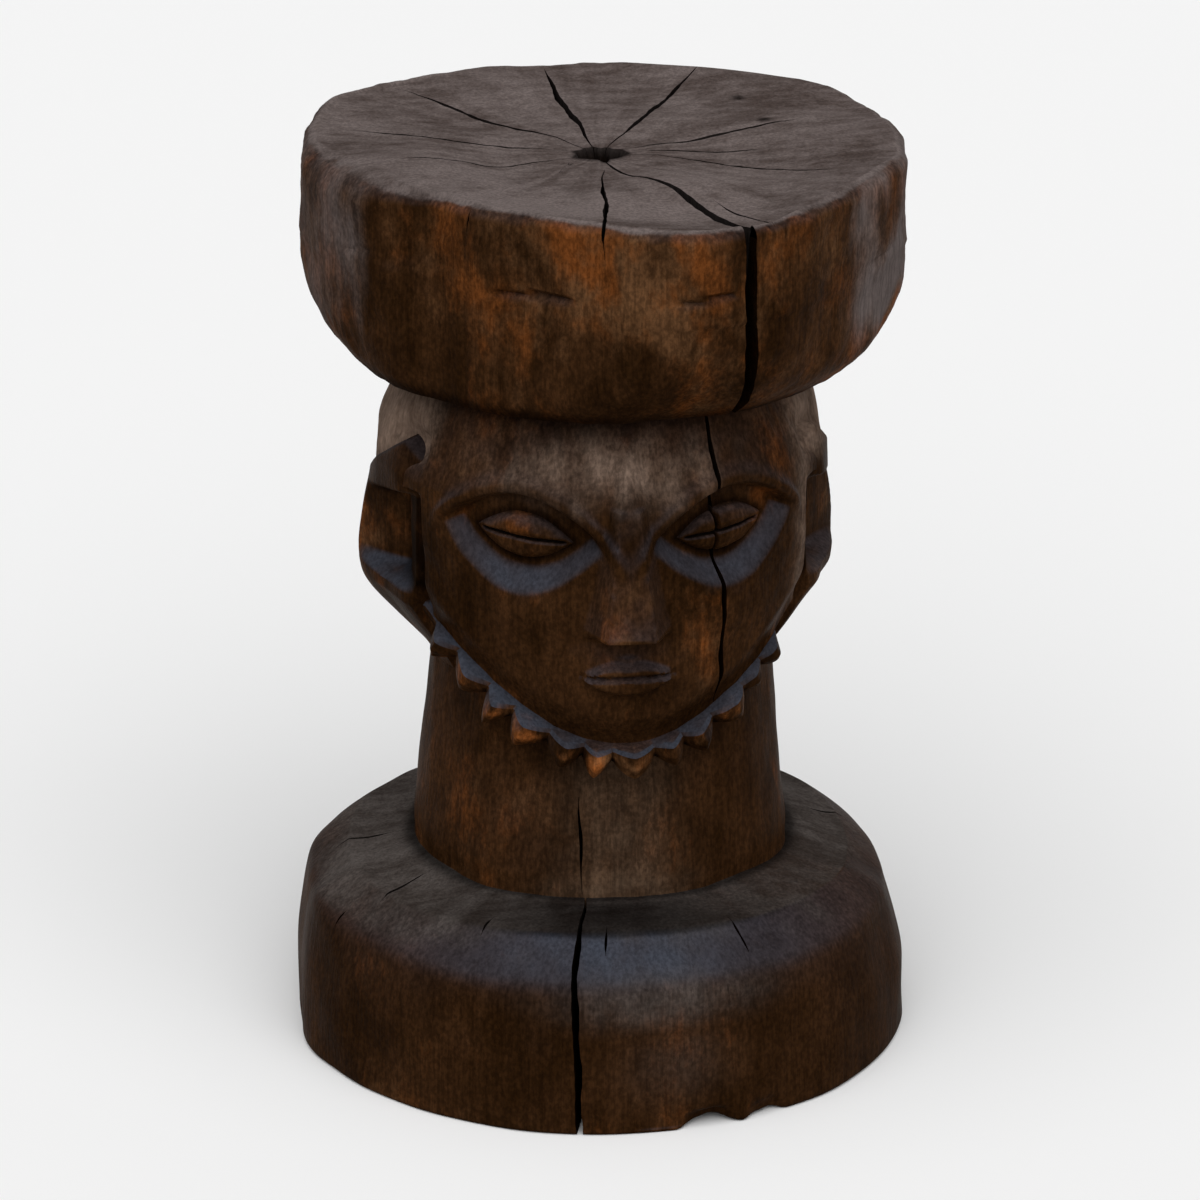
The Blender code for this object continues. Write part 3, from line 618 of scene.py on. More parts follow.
def build_seat():
    """The seat: rows run from the foot of the pith hole, over the dished end grain, round the worn edge,
    down the hewn wall and under the rounded foot. Checks cut in along the surface's own normal."""
    hole, top, edge_turn, upper_wall, lower_wall, under = range(6)
    runs = [np.linspace(0, 1, count)[1:] for count in SEAT_ROWS]
    runs[hole] = np.append(0.0, runs[hole])
    runs[top] = runs[top] ** 0.95
    zone = np.repeat(np.arange(len(runs)), [len(run) for run in runs])[:, None]
    share = np.concatenate(runs)[:, None]
    in_hole = zone == hole
    on_top = zone == top

    def gone_by(part):
        """How much of a zone lies behind each row: 0 before it, 1 after it."""
        return np.where(zone < part, 0, np.where(zone == part, share, 1))

    top_share = gone_by(top)
    turn = gone_by(edge_turn) * math.pi / 2
    upper_share = gone_by(upper_wall)
    lower_share = gone_by(lower_wall)
    under_share = gone_by(under)

    reach = rim_radius(np.radians([check[0] for check in SEAT_CHECKS])) - SEAT_EDGE
    radii = PITH_RADIUS + (reach - PITH_RADIUS) * top_share
    fall = SEAT_EDGE * (1 - np.cos(turn)) + (SEAT_WALL_HEIGHT - SEAT_EDGE) * upper_share
    fall = fall + SEAT_ROUND_HEIGHT * lower_share
    ways = radii + SEAT_EDGE * turn + fall * (zone > edge_turn)
    bearing, cut, dark = checked_columns(SEAT_CHECKS, ways.T, radii, COLUMN_STEP)
    turned = nearest_turn(bearing)

    rim = rim_radius(bearing) + 0.0009 * waves(place(bearing, 0.14, 0.0), 0.035, 3)
    rim = rim - 0.0012 * hump(bearing, -0.69, 0.02)
    edge = SEAT_EDGE * (1 + SEAT_EDGE_ROLL * around(turned, -82, 0.35))
    from_pith = np.array([check for check in SEAT_CHECKS if check[2] < PITH_RADIUS])
    tips = np.radians(from_pith[:, 0] + from_pith[:, 1] * math.exp(-PITH_RADIUS / CHECK_HOOK))
    arms = hump(nearest_turn(bearing[..., None] - tips), 0, 0.19) * from_pith[:, 4]
    star = 0.80 * PITH_RADIUS * (1 + 0.12 * np.cos(2 * bearing - 2.9)) + PITH_ARM * arms.sum(axis=-1)
    inner = star * np.where(in_hole, 0.25 + 0.75 * share, 1)
    radius = inner + (rim - edge - inner) * top_share + edge * np.sin(turn)
    bulge = lower_share * (1 - lower_share) * 4 * SEAT_BULGE
    bulge = bulge * (1 + SEAT_FULL_SIDE * around(turned, 85, 0.9))
    log_round = LOG_RADIUS - (LOG_RADIUS - SEAT_UNDER_RADIUS) * lower_share + SEAT_BULGE_OUT * bulge
    radius = np.where(zone >= lower_wall, soft_least(log_round, rim), radius)
    radius = radius * (1 - 0.35 * under_share)

    drop = SEAT_DISH * (1 - top_share**2) + edge * (1 - np.cos(turn))
    drop = drop + (SEAT_WALL_HEIGHT - SEAT_EDGE) * upper_share - (edge - SEAT_EDGE) * upper_share
    drop = drop + SEAT_ROUND_HEIGHT * lower_share + SEAT_BULGE_DOWN * bulge
    drop = np.where(in_hole, SEAT_DISH + PITH_DEPTH * (1 - share) ** 1.5, drop)

    points = place(bearing, radius, SEAT_TOP - drop)
    outward = place(bearing, np.sin(turn), np.cos(turn))
    carving = 0.0009 * waves(points, 0.060, 11) + 0.00020 * waves(points, 0.018, 12)
    carving = carving + 0.00013 * waves(points, 0.0085, 14)
    carving = carving * np.where(zone <= top, 0.45, 1.0)
    curl = 0.0011 * waves(points, 0.075, 13, 0) * on_top * ease(0.02, 0.06, radius)
    scored = gouges(bearing, drop, radius) * (zone > edge_turn)
    quiet = (zone > hole) * (1 - 0.8 * under_share)
    depth = cut * np.where(in_hole, 0.25 * share, 1) * (zone < under)
    points = points + outward * ((carving + curl) * quiet - scored - depth)[..., None]
    points[..., 2] = np.minimum(points[..., 2], SEAT_TOP + SEAT_PROUD)

    knots = np.zeros_like(bearing)
    for middle, out, half in SEAT_KNOTS:
        apart = np.linalg.norm((points - place(math.radians(middle), out, 0.0))[..., :2], axis=-1)
        knots = np.maximum(knots, hump(apart, 0, half))
    over_edge = turn / (math.pi / 2) + 0.05 * waves(points, 0.014, 23, 0)
    # Painted shade in the checks, gouges and pith hole, round the hole's rim, over the rolled edge and low
    # on the wall towards the underside; the knots are the wood's own dark.
    cavity = strongest(
        dark * (zone > hole) * (zone < under),
        0.55 * ease(0.0004, 0.002, scored),
        in_hole * (1 - 0.18 * ease(0.6, 1.0, share)),
        0.65 * hump(radius, star, 0.0022) * on_top,
        0.90 * knots * on_top,
        0.75 * ease(0.75, 1.0, lower_share),
        0.36 * hump(over_edge, 0.43, 0.28) * (zone > hole),
    )

    # The grey side faces: dry wood, lightened further as painted light where the sides face the sky.
    frayed = turned + 0.16 * waves(points, 0.045, 26, 0.6) + 0.05 * waves(points, 0.012, 27, 0.3)
    grey_side_and_painted_light = np.zeros_like(bearing)
    for strength, *edges in SEAT_GREY_LIT_FACES:
        grey_side_and_painted_light = grey_side_and_painted_light + strength * band(frayed, *np.radians(edges))
    striped = 0.72 + 0.05 * waves(points, 0.008, 24, 0.10) + 0.14 * waves(points, 0.040, 25, 0.6)
    grey_side_and_painted_light = grey_side_and_painted_light * np.clip(striped, 0, 1)
    lower_edge = lower_share + 0.14 * waves(points, 0.035, 28, 0.5)
    grey = fade(0.20, 0.56, over_edge) * np.where(in_hole, ease(0.5, 1.0, share), 1)
    grey = np.maximum(grey, grey_side_and_painted_light * fade(0.1, 0.95, lower_edge))

    front = around(turned, -18, 0.58) + 0.8 * hump(np.abs(turned), math.pi, 0.8)
    front = front + 0.45 * around(turned, 26, 0.08) * hump(drop, 0.018, 0.017)
    low = 1 - 0.95 * ease(0.038, 0.078, drop)
    patches = waves(points, 0.060, 21, 0.7) + 0.7 * waves(points, 0.024, 22, 0.6)
    wear = np.clip(0.18 + 0.50 * front * low + 0.10 * patches * (0.5 + front), 0, 1)
    wear = np.maximum(wear, 0.8 * grey_side_and_painted_light) * (zone > top)
    near_front = around(turned, -22, 0.75) * ease(0.040, 0.110, radius)
    near_front = near_front * (1 - 1.6 * ease(0.108, 0.130, radius))
    wear = np.where(on_top, near_front, wear)
    marks = {"wear": wear, "cavity": cavity, "grey": grey, "bloom": 0.25}
    pith_floor = (0, 0, SEAT_TOP - SEAT_DISH - PITH_DEPTH)
    return carved("seat_slab", points, pith_floor, (0, 0, SEAT_BOTTOM - SEAT_FOOT_SUNK), marks)


def build_base():
    """The base: rows run along its section, over the land, the bevel and the wall, round the chipped foot
    and in under it. The bevel is worn lower on one side and at the back."""
    radius, height, way = rounded(BASE_SECTION, BASE_ROWS)
    none = np.zeros(len(radius))
    turn = np.linspace(0, math.pi / 2, 5)[1:]
    sole = np.linspace(0, 1, 4)[1:]
    edge = BASE_RADIUS - BASE_FOOT_EDGE * (1 - np.cos(turn))
    radius = np.concatenate([radius, edge, edge[-1] * (1 - 0.85 * sole)])[:, None]
    height = np.concatenate([height, BASE_FOOT_EDGE * (1 - np.sin(turn)), 0 * sole])[:, None]
    under = np.concatenate([none, 0 * turn, sole])[:, None]
    foot = np.concatenate([none, turn / turn[-1], 0 * sole + 1])[:, None]
    way = np.concatenate([way, way[-1] + BASE_FOOT_EDGE * turn, way[-1] + 0.01 + 0.1 * sole])
    above = under == 0

    count = len(BASE_CHECKS)
    radii = np.repeat(np.maximum(radius, 0.09), count, axis=1)
    ways = np.repeat(BASE_INSIDE + way[None, :], count, axis=0)
    bearing, cut, dark = checked_columns(BASE_CHECKS, ways, radii, COLUMN_STEP)
    turned = nearest_turn(bearing)

    rise = np.zeros_like(bearing)
    bite = np.zeros_like(bearing)
    for middle, half, chip_rise, chip_bite in FOOT_CHIPS:
        apart = np.degrees(nearest_turn(bearing - math.radians(middle)))
        chip = fade(0.30, 1.0, np.abs(apart) / half) * (0.88 + 0.12 * np.sin(apart * 0.9 + middle))
        rise = rise + chip_rise * chip
        bite = bite + chip_bite * chip
    near_foot = ease(0.012, 0.002, height) * (1 - under)
    low_rim = fade(0.0, 0.3, under)

    run = np.gradient(radius, axis=0)
    fall = -np.gradient(height, axis=0)
    length = np.hypot(run, fall)
    out = np.where(above, fall / length, 0.0)
    up = np.where(above, run / length, -1.0)
    bevel = ease(0.100, 0.124, radius) * ease(0.030, 0.072, height)
    worn = WORN_BACK_DEPTH * (1 - hump(turned, 0, 0.85)) + WORN_SIDE_DEPTH * hump(turned, WORN_SIDE, 0.75)
    points = place(bearing, radius - bite * near_foot, height + rise * near_foot * low_rim)
    outward = place(bearing, out, up)
    inward = place(bearing, np.where(foot > 0, 1.0, out), np.where(foot > 0, 0.0, up))
    facets = 0.0011 * waves(points, 0.095, 31, 0.4) + 0.00030 * waves(points, 0.034, 32)
    moved = facets * (1 - foot) - worn * bevel
    points = points + outward * moved[..., None] - inward * (cut * above)[..., None]
    points[..., 2] = np.maximum(points[..., 2], 0.0)

    front = around(turned, -2, 0.80)
    ring = band(radius, 0.090, 0.100, 0.1275, 0.1312) * (up > 0.5)
    # Painted shade in the checks, in the crease at the neck's foot, on the ring in front of the neck, round
    # the foot and low on the right side.
    cavity = strongest(
        dark * above,
        0.75 * hump(radius, NECK_FOOT_RADIUS, 0.006) * above,
        0.80 * ring * front,
        0.4 * foot,
        0.28 * around(turned, 60, 0.40) * (height < 0.07),
    )
    ragged = 0.02 * waves(points, 0.022, 36) + 0.04 * waves(points, 0.080, 37)
    level = ease(0.70 - 0.30 * around(turned, -82, 0.55), 0.99, up + ragged) * (1 - foot)
    level = level * np.clip(1.05 - 0.35 * front - 0.35 * around(turned, 55, 0.55), 0, 1)
    # Painted highlights: a patch of light on the wall in front, and a band of sheen along the top of the
    # wall in front. The level land is dry grey wood.
    lit_wall = around(turned, 7, 0.24) * hump(height, 0.036, 0.026)
    painted_shoulder_sheen = around(turned, 5, 0.40) * hump(height, 0.0680, 0.0150) * (radius > 0.12)
    grey = strongest(level, 0.30 * lit_wall, 0.62 * painted_shoulder_sheen)
    patches = waves(points, 0.060, 34, 0.6) + 0.6 * waves(points, 0.020, 35)
    wear = np.clip(0.02 + 0.06 * patches + 0.14 * ease(0.030, 0.0, height), 0, 1)
    # Painted shade: less rubbed colour on the right side.
    wear = wear - 0.30 * around(turned, 58, 0.45)
    # Painted sheen, strongest at the front.
    bloom = 0.16 + 0.84 * around(turned, -2, 0.72)
    marks = {"wear": wear, "cavity": cavity, "grey": grey, "bloom": bloom}
    return carved("base_foot", points, (0, 0, BASE_SECTION[0, 1]), (0, 0, BASE_SOLE_RISE), marks)


def build_neck():
    """The neck: a post that flares at its foot. It runs on into the base and up into the head."""
    foot = NECK_FOOT - NECK_SUNK
    height = NECK_INSIDE_HEAD + (foot - NECK_INSIDE_HEAD) * np.linspace(0, 1, NECK_ROWS)[:, None]
    up = height - NECK_FOOT
    flare = (1 - np.clip(up / NECK_FLARE_HEIGHT, 0, 1)) ** 1.25
    radius = NECK_TOP_RADIUS + (NECK_FOOT_RADIUS - NECK_TOP_RADIUS) * flare
    radius = radius - 0.0012 * hump(up, 0.0, 0.006)
    bearing, cut, dark = checked_columns((NECK_CHECK,), np.abs(up).T, radius, NECK_COLUMN_STEP)
    turned = nearest_turn(bearing)
    points = place(bearing, radius, height)
    shaving = 0.0007 * waves(points, 0.045, 41, 0.35) + 0.00014 * waves(points, 0.014, 42, 0.5)
    points = points + place(bearing, shaving - cut, 0.0)

    # Painted shade at the foot, high on the front under the beard, and on the right side.
    cavity = strongest(
        dark,
        0.25 * fade(0.0, 0.010, up),
        0.10 * ease(0.050, 0.085, up) * hump(turned, 0, 0.9),
        0.26 * around(turned, 40, 0.38),
    )
    patches = waves(points, 0.050, 43, 0.5) + 0.5 * waves(points, 0.018, 44, 0.5)
    left = around(turned, -38, 0.30) * hump(up, 0.045, 0.030)
    # Painted shade: less rubbed colour on the right side.
    wear = np.clip(0.05 + 0.09 * patches + 0.16 * left, 0, 1) - 0.14 * around(turned, 42, 0.30)
    # Painted highlight down the front of the neck, brighter just above its foot.
    grey = around(turned, -2, 0.42) * (0.42 + 0.26 * hump(up, 0.004, 0.007))
    marks = {"wear": wear, "cavity": cavity, "grey": grey, "bloom": 0.6}
    return carved("neck_post", points, (0, 0, NECK_INSIDE_HEAD), (0, 0, foot), marks)


def jaw_height(bearing):
    """The jaw's lower edge: a parabola that climbs from the chin to the level of the nape."""
    across = JAW_RADIUS * np.sin(bearing) / JAW_HALF_WIDTH
    front = CHIN + JAW_RISE * across**2
    return np.where(np.cos(bearing) > 0, np.minimum(front, NAPE), NAPE)


def head_barrel(height):
    """The head's radius: widest at the brow, drawn in to the seat and, by a parabola, to the jaw."""
    above = np.clip((height - BROW_LINE) / (HEAD_TOP - BROW_LINE), 0, 1.2)
    below = np.clip((BROW_LINE - height) / (BROW_LINE - CHIN), 0, 1.2)
    drawn_in = (HEAD_RADIUS - HEAD_TOP_RADIUS) * above**1.3
    return HEAD_RADIUS - drawn_in - (HEAD_RADIUS - JAW_RADIUS) * below**2


def eye_frame(across, height):
    """Places in an eye's own frame: along it, away from the nose, and up across it, tilted a little."""
    along = (np.abs(across) - EYE_ACROSS) * math.cos(EYE_TILT) + (height - EYE_LINE) * math.sin(EYE_TILT)
    up = (height - EYE_LINE) * math.cos(EYE_TILT) - (np.abs(across) - EYE_ACROSS) * math.sin(EYE_TILT)
    return along, up


def socket_depth(across, height):
    """The eye hollow: a large almond between two parabolas, crisp under the brow and sloping out below."""
    along, up = eye_frame(across, height)
    bow = 1 - (along / SOCKET_HALF_WIDTH) ** 2
    under_brow = SOCKET_RISE * bow - up
    above_cheek = SOCKET_FALL * bow + up
    depth = SOCKET_DEPTH * ease(0, 0.0042, under_brow) * ease(0, 0.0135, above_cheek)
    brow = 0.0022 * hump(under_brow, -0.0035, 0.0045) * (np.abs(along) < BROW_REACH)
    return depth - brow * ease(0, 0.012, BROW_REACH - np.abs(along))


def face_relief(across, height):
    """The face as heights over the barrel, by arc length across and height: brow ridge, nose wedge, lips
    and soft mounds, less the eye hollows."""
    side = np.abs(across)
    down = np.clip((NOSE_BRIDGE - height) / (NOSE_BRIDGE - NOSE_BASE), 0, 1)
    crest = 0.0042 + 0.0062 * down
    spread = NOSE_BRIDGE_HALF + 0.0125 * down**1.3
    wedge = np.clip((spread - side) / (spread - crest), 0, 1) ** 1.15
    wedge = wedge * (NOSE_BRIDGE_STAND + (NOSE_STAND - NOSE_BRIDGE_STAND) * down**0.9)
    nose = wedge * ease(NOSE_BASE - 0.0022, NOSE_BASE + 0.0030, height) * (height < NOSE_BRIDGE)
    rising = np.clip((height - NOSE_BRIDGE) / NOSE_RIDGE_HEIGHT, 0, 1)
    ridge_half = NOSE_BRIDGE_HALF - 0.0045 * rising
    ridge = np.clip((ridge_half - side) / (ridge_half - 0.0015), 0, 1)
    ridge = ridge * NOSE_BRIDGE_STAND * (1 - rising) ** 1.2 * (height >= NOSE_BRIDGE)

    lip = np.clip(1 - (across / LIP_HALF_WIDTH) ** 2, 0, 1)
    over = UPPER_LIP * lip * (1 - 0.16 * hump(across, 0, 0.0045))
    above = height - MOUTH_LINE
    lips = LIP_STAND * ease(0, 0.0030, over - above) * ease(0, 0.0030, LOWER_LIP * lip + above) * (lip > 0)
    slit = 0.0040 * hump(above, 0.0006 - 1.2 * across**2, 0.0012) * ease(0, 0.25, lip)
    groove = 0.0013 * hump(across, 0, 0.0040) * band(above, 0.0085, 0.0105, 0.015, 0.019)
    relief = nose + ridge + lips - slit - groove
    for stand, middle, half_width, level, half_height in FACE_MOUNDS:
        relief = relief + stand * hump(side, middle, half_width) * hump(height, level, half_height)
    return relief - socket_depth(across, height)


def ear_arm_top(turn):
    """Height of the ear's upper edge: it peaks behind the temple and falls to the front and the back."""
    past = turn - EAR_PEAK
    return EAR_TOP - EAR_ARM_DROP * np.clip(past, 0, 0.9) - EAR_NOSE_DROP * np.clip(-past, 0, 0.3)


def ear_roof(turn):
    """Height of the upper end of the ear's hollow, which is the lower edge of its arm."""
    return EAR_HOLLOW_TOP - EAR_HOLLOW_DROP * np.clip(turn - EAR_HOLLOW_FRONT, 0, 1)


def ear_room(turn, height):
    """Where the head is cut away for an ear: behind the cheek up to the arm, and further back under it."""
    low = ease(EAR_FRONT + 0.010, EAR_FRONT + 0.036, turn) * fade(0.0005, 0.004, height - ear_roof(turn))
    high = ease(1.32, 1.36, turn) * fade(-0.010, -0.005, height - ear_arm_top(turn))
    return fade(1.86, 1.91, turn) * np.maximum(low, high)


def head_surface(bearing, height):
    """The head's radius anywhere: barrel, face, the scoop above the beard, the room for the ears, the
    hollow above each ear and a scratch on one temple."""
    turned = nearest_turn(bearing)
    aside = np.abs(turned)
    front = fade(math.radians(66), math.radians(84), aside)
    radius = head_barrel(height) + face_relief(turned * HEAD_RADIUS, height) * front
    radius = radius - 0.0050 * fade(0.001, 0.020, height - jaw_height(turned)) * front
    hollow = band(aside, *np.radians((57.5, 61, 63, 82)))
    radius = radius - 0.0070 * hollow * hump(height, 0.3185, 0.0075)
    scratch = around(turned, -52, math.radians(0.9)) * ease(0.300, 0.318, height)
    radius = radius - 0.0007 * scratch
    return radius + (EAR_INSIDE - radius) * ear_room(aside, height)


def head_check_middle(height):
    down = (HEAD_TOP - height) / (HEAD_TOP - CHIN)
    waver = 0.20 * np.sin(height * 75) + 0.14 * np.sin(height * 240 + 1)
    return np.radians(HEAD_CHECK_TOP + (HEAD_CHECK_FOOT - HEAD_CHECK_TOP) * down + waver)


def head_check_half(height):
    """Half the opening of that check: ragged, and closing towards the jaw."""
    ragged = 1 + 0.18 * np.sin(height * 180) + 0.08 * np.sin(height * 600)
    return HEAD_CHECK_HALF * ragged * ease(0.186, 0.215, height)


def build_head():
    """The head: rows run from inside the seat down to the jaw's edge, then in under the jaw to the neck.
    Columns are close in front, and a bundle of them follows the check."""
    wall = np.linspace(0, 1, HEAD_ROWS)
    under = np.linspace(0, 1, JAW_ROWS)[1:]
    fall = np.concatenate([wall, 0 * under + 1])
    tuck = np.concatenate([0 * wall, under])[:, None]
    top = HEAD_TOP + HEAD_SUNK
    rough = top + (CHIN + 0.012 - top) * fall
    middle = head_check_middle(rough)
    opening = head_check_half(rough)
    half = np.maximum(opening, CHECK_CLOSED) / HEAD_RADIUS
    open_rows = (opening > HEAD_CHECK_CLOSED)[:, None]
    fixed = [np.full(len(fall), math.radians(angle)) for angle in (-116, -63, 63, 116)]
    check = [middle + half * key for key in CHECK_KEYS]
    counts = [*HEAD_COLUMNS[:2], *[1] * (len(CHECK_KEYS) - 1), *HEAD_COLUMNS[2:]]
    bearing = columns(fixed[:2] + check + fixed[2:], counts)
    turned = nearest_turn(bearing)
    aside = np.abs(turned)

    height = top + (jaw_height(bearing) - top) * fall[:, None]
    radius = head_surface(bearing, height)
    radius = radius + (JAW_INSIDE - radius) * tuck
    height = height + JAW_TUCK * tuck**1.5
    points = place(bearing, radius, height)
    away = ease(math.radians(50), math.radians(75), aside)
    carving = (0.00025 + 0.0004 * away) * waves(points, 0.035, 51) + 0.00010 * waves(points, 0.012, 52)
    across = (bearing - middle[:, None]) / half[:, None]
    cut = HEAD_CHECK_DEPTH * check_fall(across) * open_rows
    streaks = around(turned, 58, math.radians(13)) * ease(0.315, 0.330, height)
    streaks = streaks * np.clip(waves(points, 0.0060, 53, 0.12), -0.4, 1) * 0.0007
    points = points + place(bearing, (carving - streaks) * (tuck == 0) - cut * (1 - tuck), 0.0)

    arc = turned * HEAD_RADIUS
    along, up = eye_frame(arc, height)
    corner = ease(0.30, 0.95, socket_depth(arc, height) / SOCKET_DEPTH)
    lens = EYE_HALF_HEIGHT * (1 - (along / EYE_HALF_WIDTH) ** 2)
    # Painted shade in the check, under the jaw, just below the seat, in the eyes' corners and where the
    # sides are cut in for the ears.
    cavity = strongest(
        fade(1.0, CHECK_EDGE, np.abs(across)) * open_rows,
        ease(0, 0.3, tuck),
        0.70 * ease(HEAD_TOP - 0.014, HEAD_TOP - 0.002, height),
        0.75 * corner * hump(np.abs(up) - lens, 0.0, 0.004) * (aside < 1.2),
        0.6 * ease(0.006, 0.016, head_barrel(height) - radius) * (aside > 0.9),
    )
    patches = waves(points, 0.045, 54, 0.6) + 0.5 * waves(points, 0.016, 55)
    raised = ease(0.004, 0.014, face_relief(arc, height)) * (aside < 0.6)
    # Painted highlight on one cheek, laid in as extra rubbed colour.
    cheek = around(turned, 20, 0.20) * hump(height, 0.243, 0.022)
    wear = np.clip(0.05 + 0.13 * patches + 0.10 * raised + 0.30 * cheek, 0, 1)
    # Grey at the temples: dry wood, lightened further as painted light.
    temple = 0.85 * ease(math.radians(48), math.radians(66), aside) * fade(0.0, 0.2, tuck)
    temple = temple * (1 - 0.75 * ease(math.radians(96), math.radians(138), aside))
    temple = temple * ease(0.292, 0.326, height + 0.006 * waves(points, 0.040, 56))
    # Painted highlight on the forehead.
    painted_forehead_highlight = around(turned, -5, 0.58) * hump(height, 0.320, 0.021)
    painted_forehead_highlight = painted_forehead_highlight * np.clip(0.80 + 0.20 * waves(points, 0.012, 57, 0.15), 0, 1)
    # Painted light on the right side beside the ear.
    painted_light_beside_ear = around(turned, 57, 0.11) * ease(0.215, 0.250, height)
    grey = strongest(temple, 0.69 * painted_forehead_highlight, 0.48 * painted_light_beside_ear)
    above_brow = ease(BROW_LINE - 0.004, BROW_LINE + 0.006, height)
    mouth = hump(arc, 0, 0.034) * hump(height, MOUTH_LINE, 0.018)
    # Painted sheen: weaker above the brow and round the mouth.
    bloom = (0.95 - 0.70 * above_brow) * (1 - 0.70 * mouth)
    marks = {"wear": wear, "cavity": cavity, "grey": grey, "bloom": bloom}
    return carved("head_barrel", points, (0, 0, top), (0, 0, CHIN + 0.06), marks, 50)


def build_eye(side, name):
    """An eye: an almond between two parabolas, swelling from the hollow's floor, parted by a slit. Each row
    is a section across the eye, its front and then its back, which lies inside the head."""
    along = np.sin(np.linspace(-1, 1, EYE_ROWS)[1:-1] * math.pi / 2)[:, None]
    upper = np.geomspace(0.03, 1, EYE_LID_COLUMNS)
    rise = np.concatenate([-upper[::-1], [0.0], upper])
    up = EYE_HALF_HEIGHT * (1 - along**2) * rise
    run = EYE_HALF_WIDTH * along
    across = EYE_ACROSS + run * math.cos(EYE_TILT) - up * math.sin(EYE_TILT)
    height = EYE_LINE + up * math.cos(EYE_TILT) + run * math.sin(EYE_TILT)
    bearing = side * across / HEAD_RADIUS
    floor = head_barrel(height) - socket_depth(across, height)
    ends = np.clip(1 - along**2, 0, 1)
    dome = EYE_SWELL * ends**0.45 * np.sqrt(np.clip(1 - rise**2, 0, 1)) ** 0.9
    lid = 0.0011 * ends**0.5 * band(rise, 0.10, 0.35, 0.80, 1.0)
    slit = 0.0026 * hump(up, 0.0, 0.0010) * ease(0.12, 0.4, ends)
    front = floor - 0.0006 + dome + lid - slit
    apart = (bearing - head_check_middle(height)) * HEAD_RADIUS
    cut = EYE_CHECK_DEPTH * check_fall(apart / np.maximum(head_check_half(height), 0.0002))
    points = place(bearing, front - cut, height)
    points = points + place(bearing, 0.00025 * waves(points, 0.010, 61), 0.0)
    back = place(bearing, floor - EYE_BACK, height)[:, ::-1]

    # Painted shade in the slit, in the check and round the eye's edge.
    cavity = strongest(
        ease(0.0006, 0.0022, slit),
        ease(0.0008, 0.003, cut),
        0.55 * ease(0.86, 1.0, np.abs(rise)),
    )
    wear = np.clip(0.05 + 0.12 * waves(points, 0.020, 62) + 0.05 * ends, 0, 1)
    marks = {"wear": backed(wear, 0), "cavity": backed(cavity, 1), "grey": 0.0, "bloom": 0.30}
    tips = []
    for end in (-EYE_HALF_WIDTH, EYE_HALF_WIDTH):
        tip_across = EYE_ACROSS + end * math.cos(EYE_TILT)
        tip_height = EYE_LINE + end * math.sin(EYE_TILT)
        tip_radius = head_barrel(tip_height) - socket_depth(tip_across, tip_height) - 0.003
        tips.append(place(side * tip_across / HEAD_RADIUS, tip_radius, tip_height))
    return carved(name, np.concatenate([points, back], axis=1), *tips, marks)


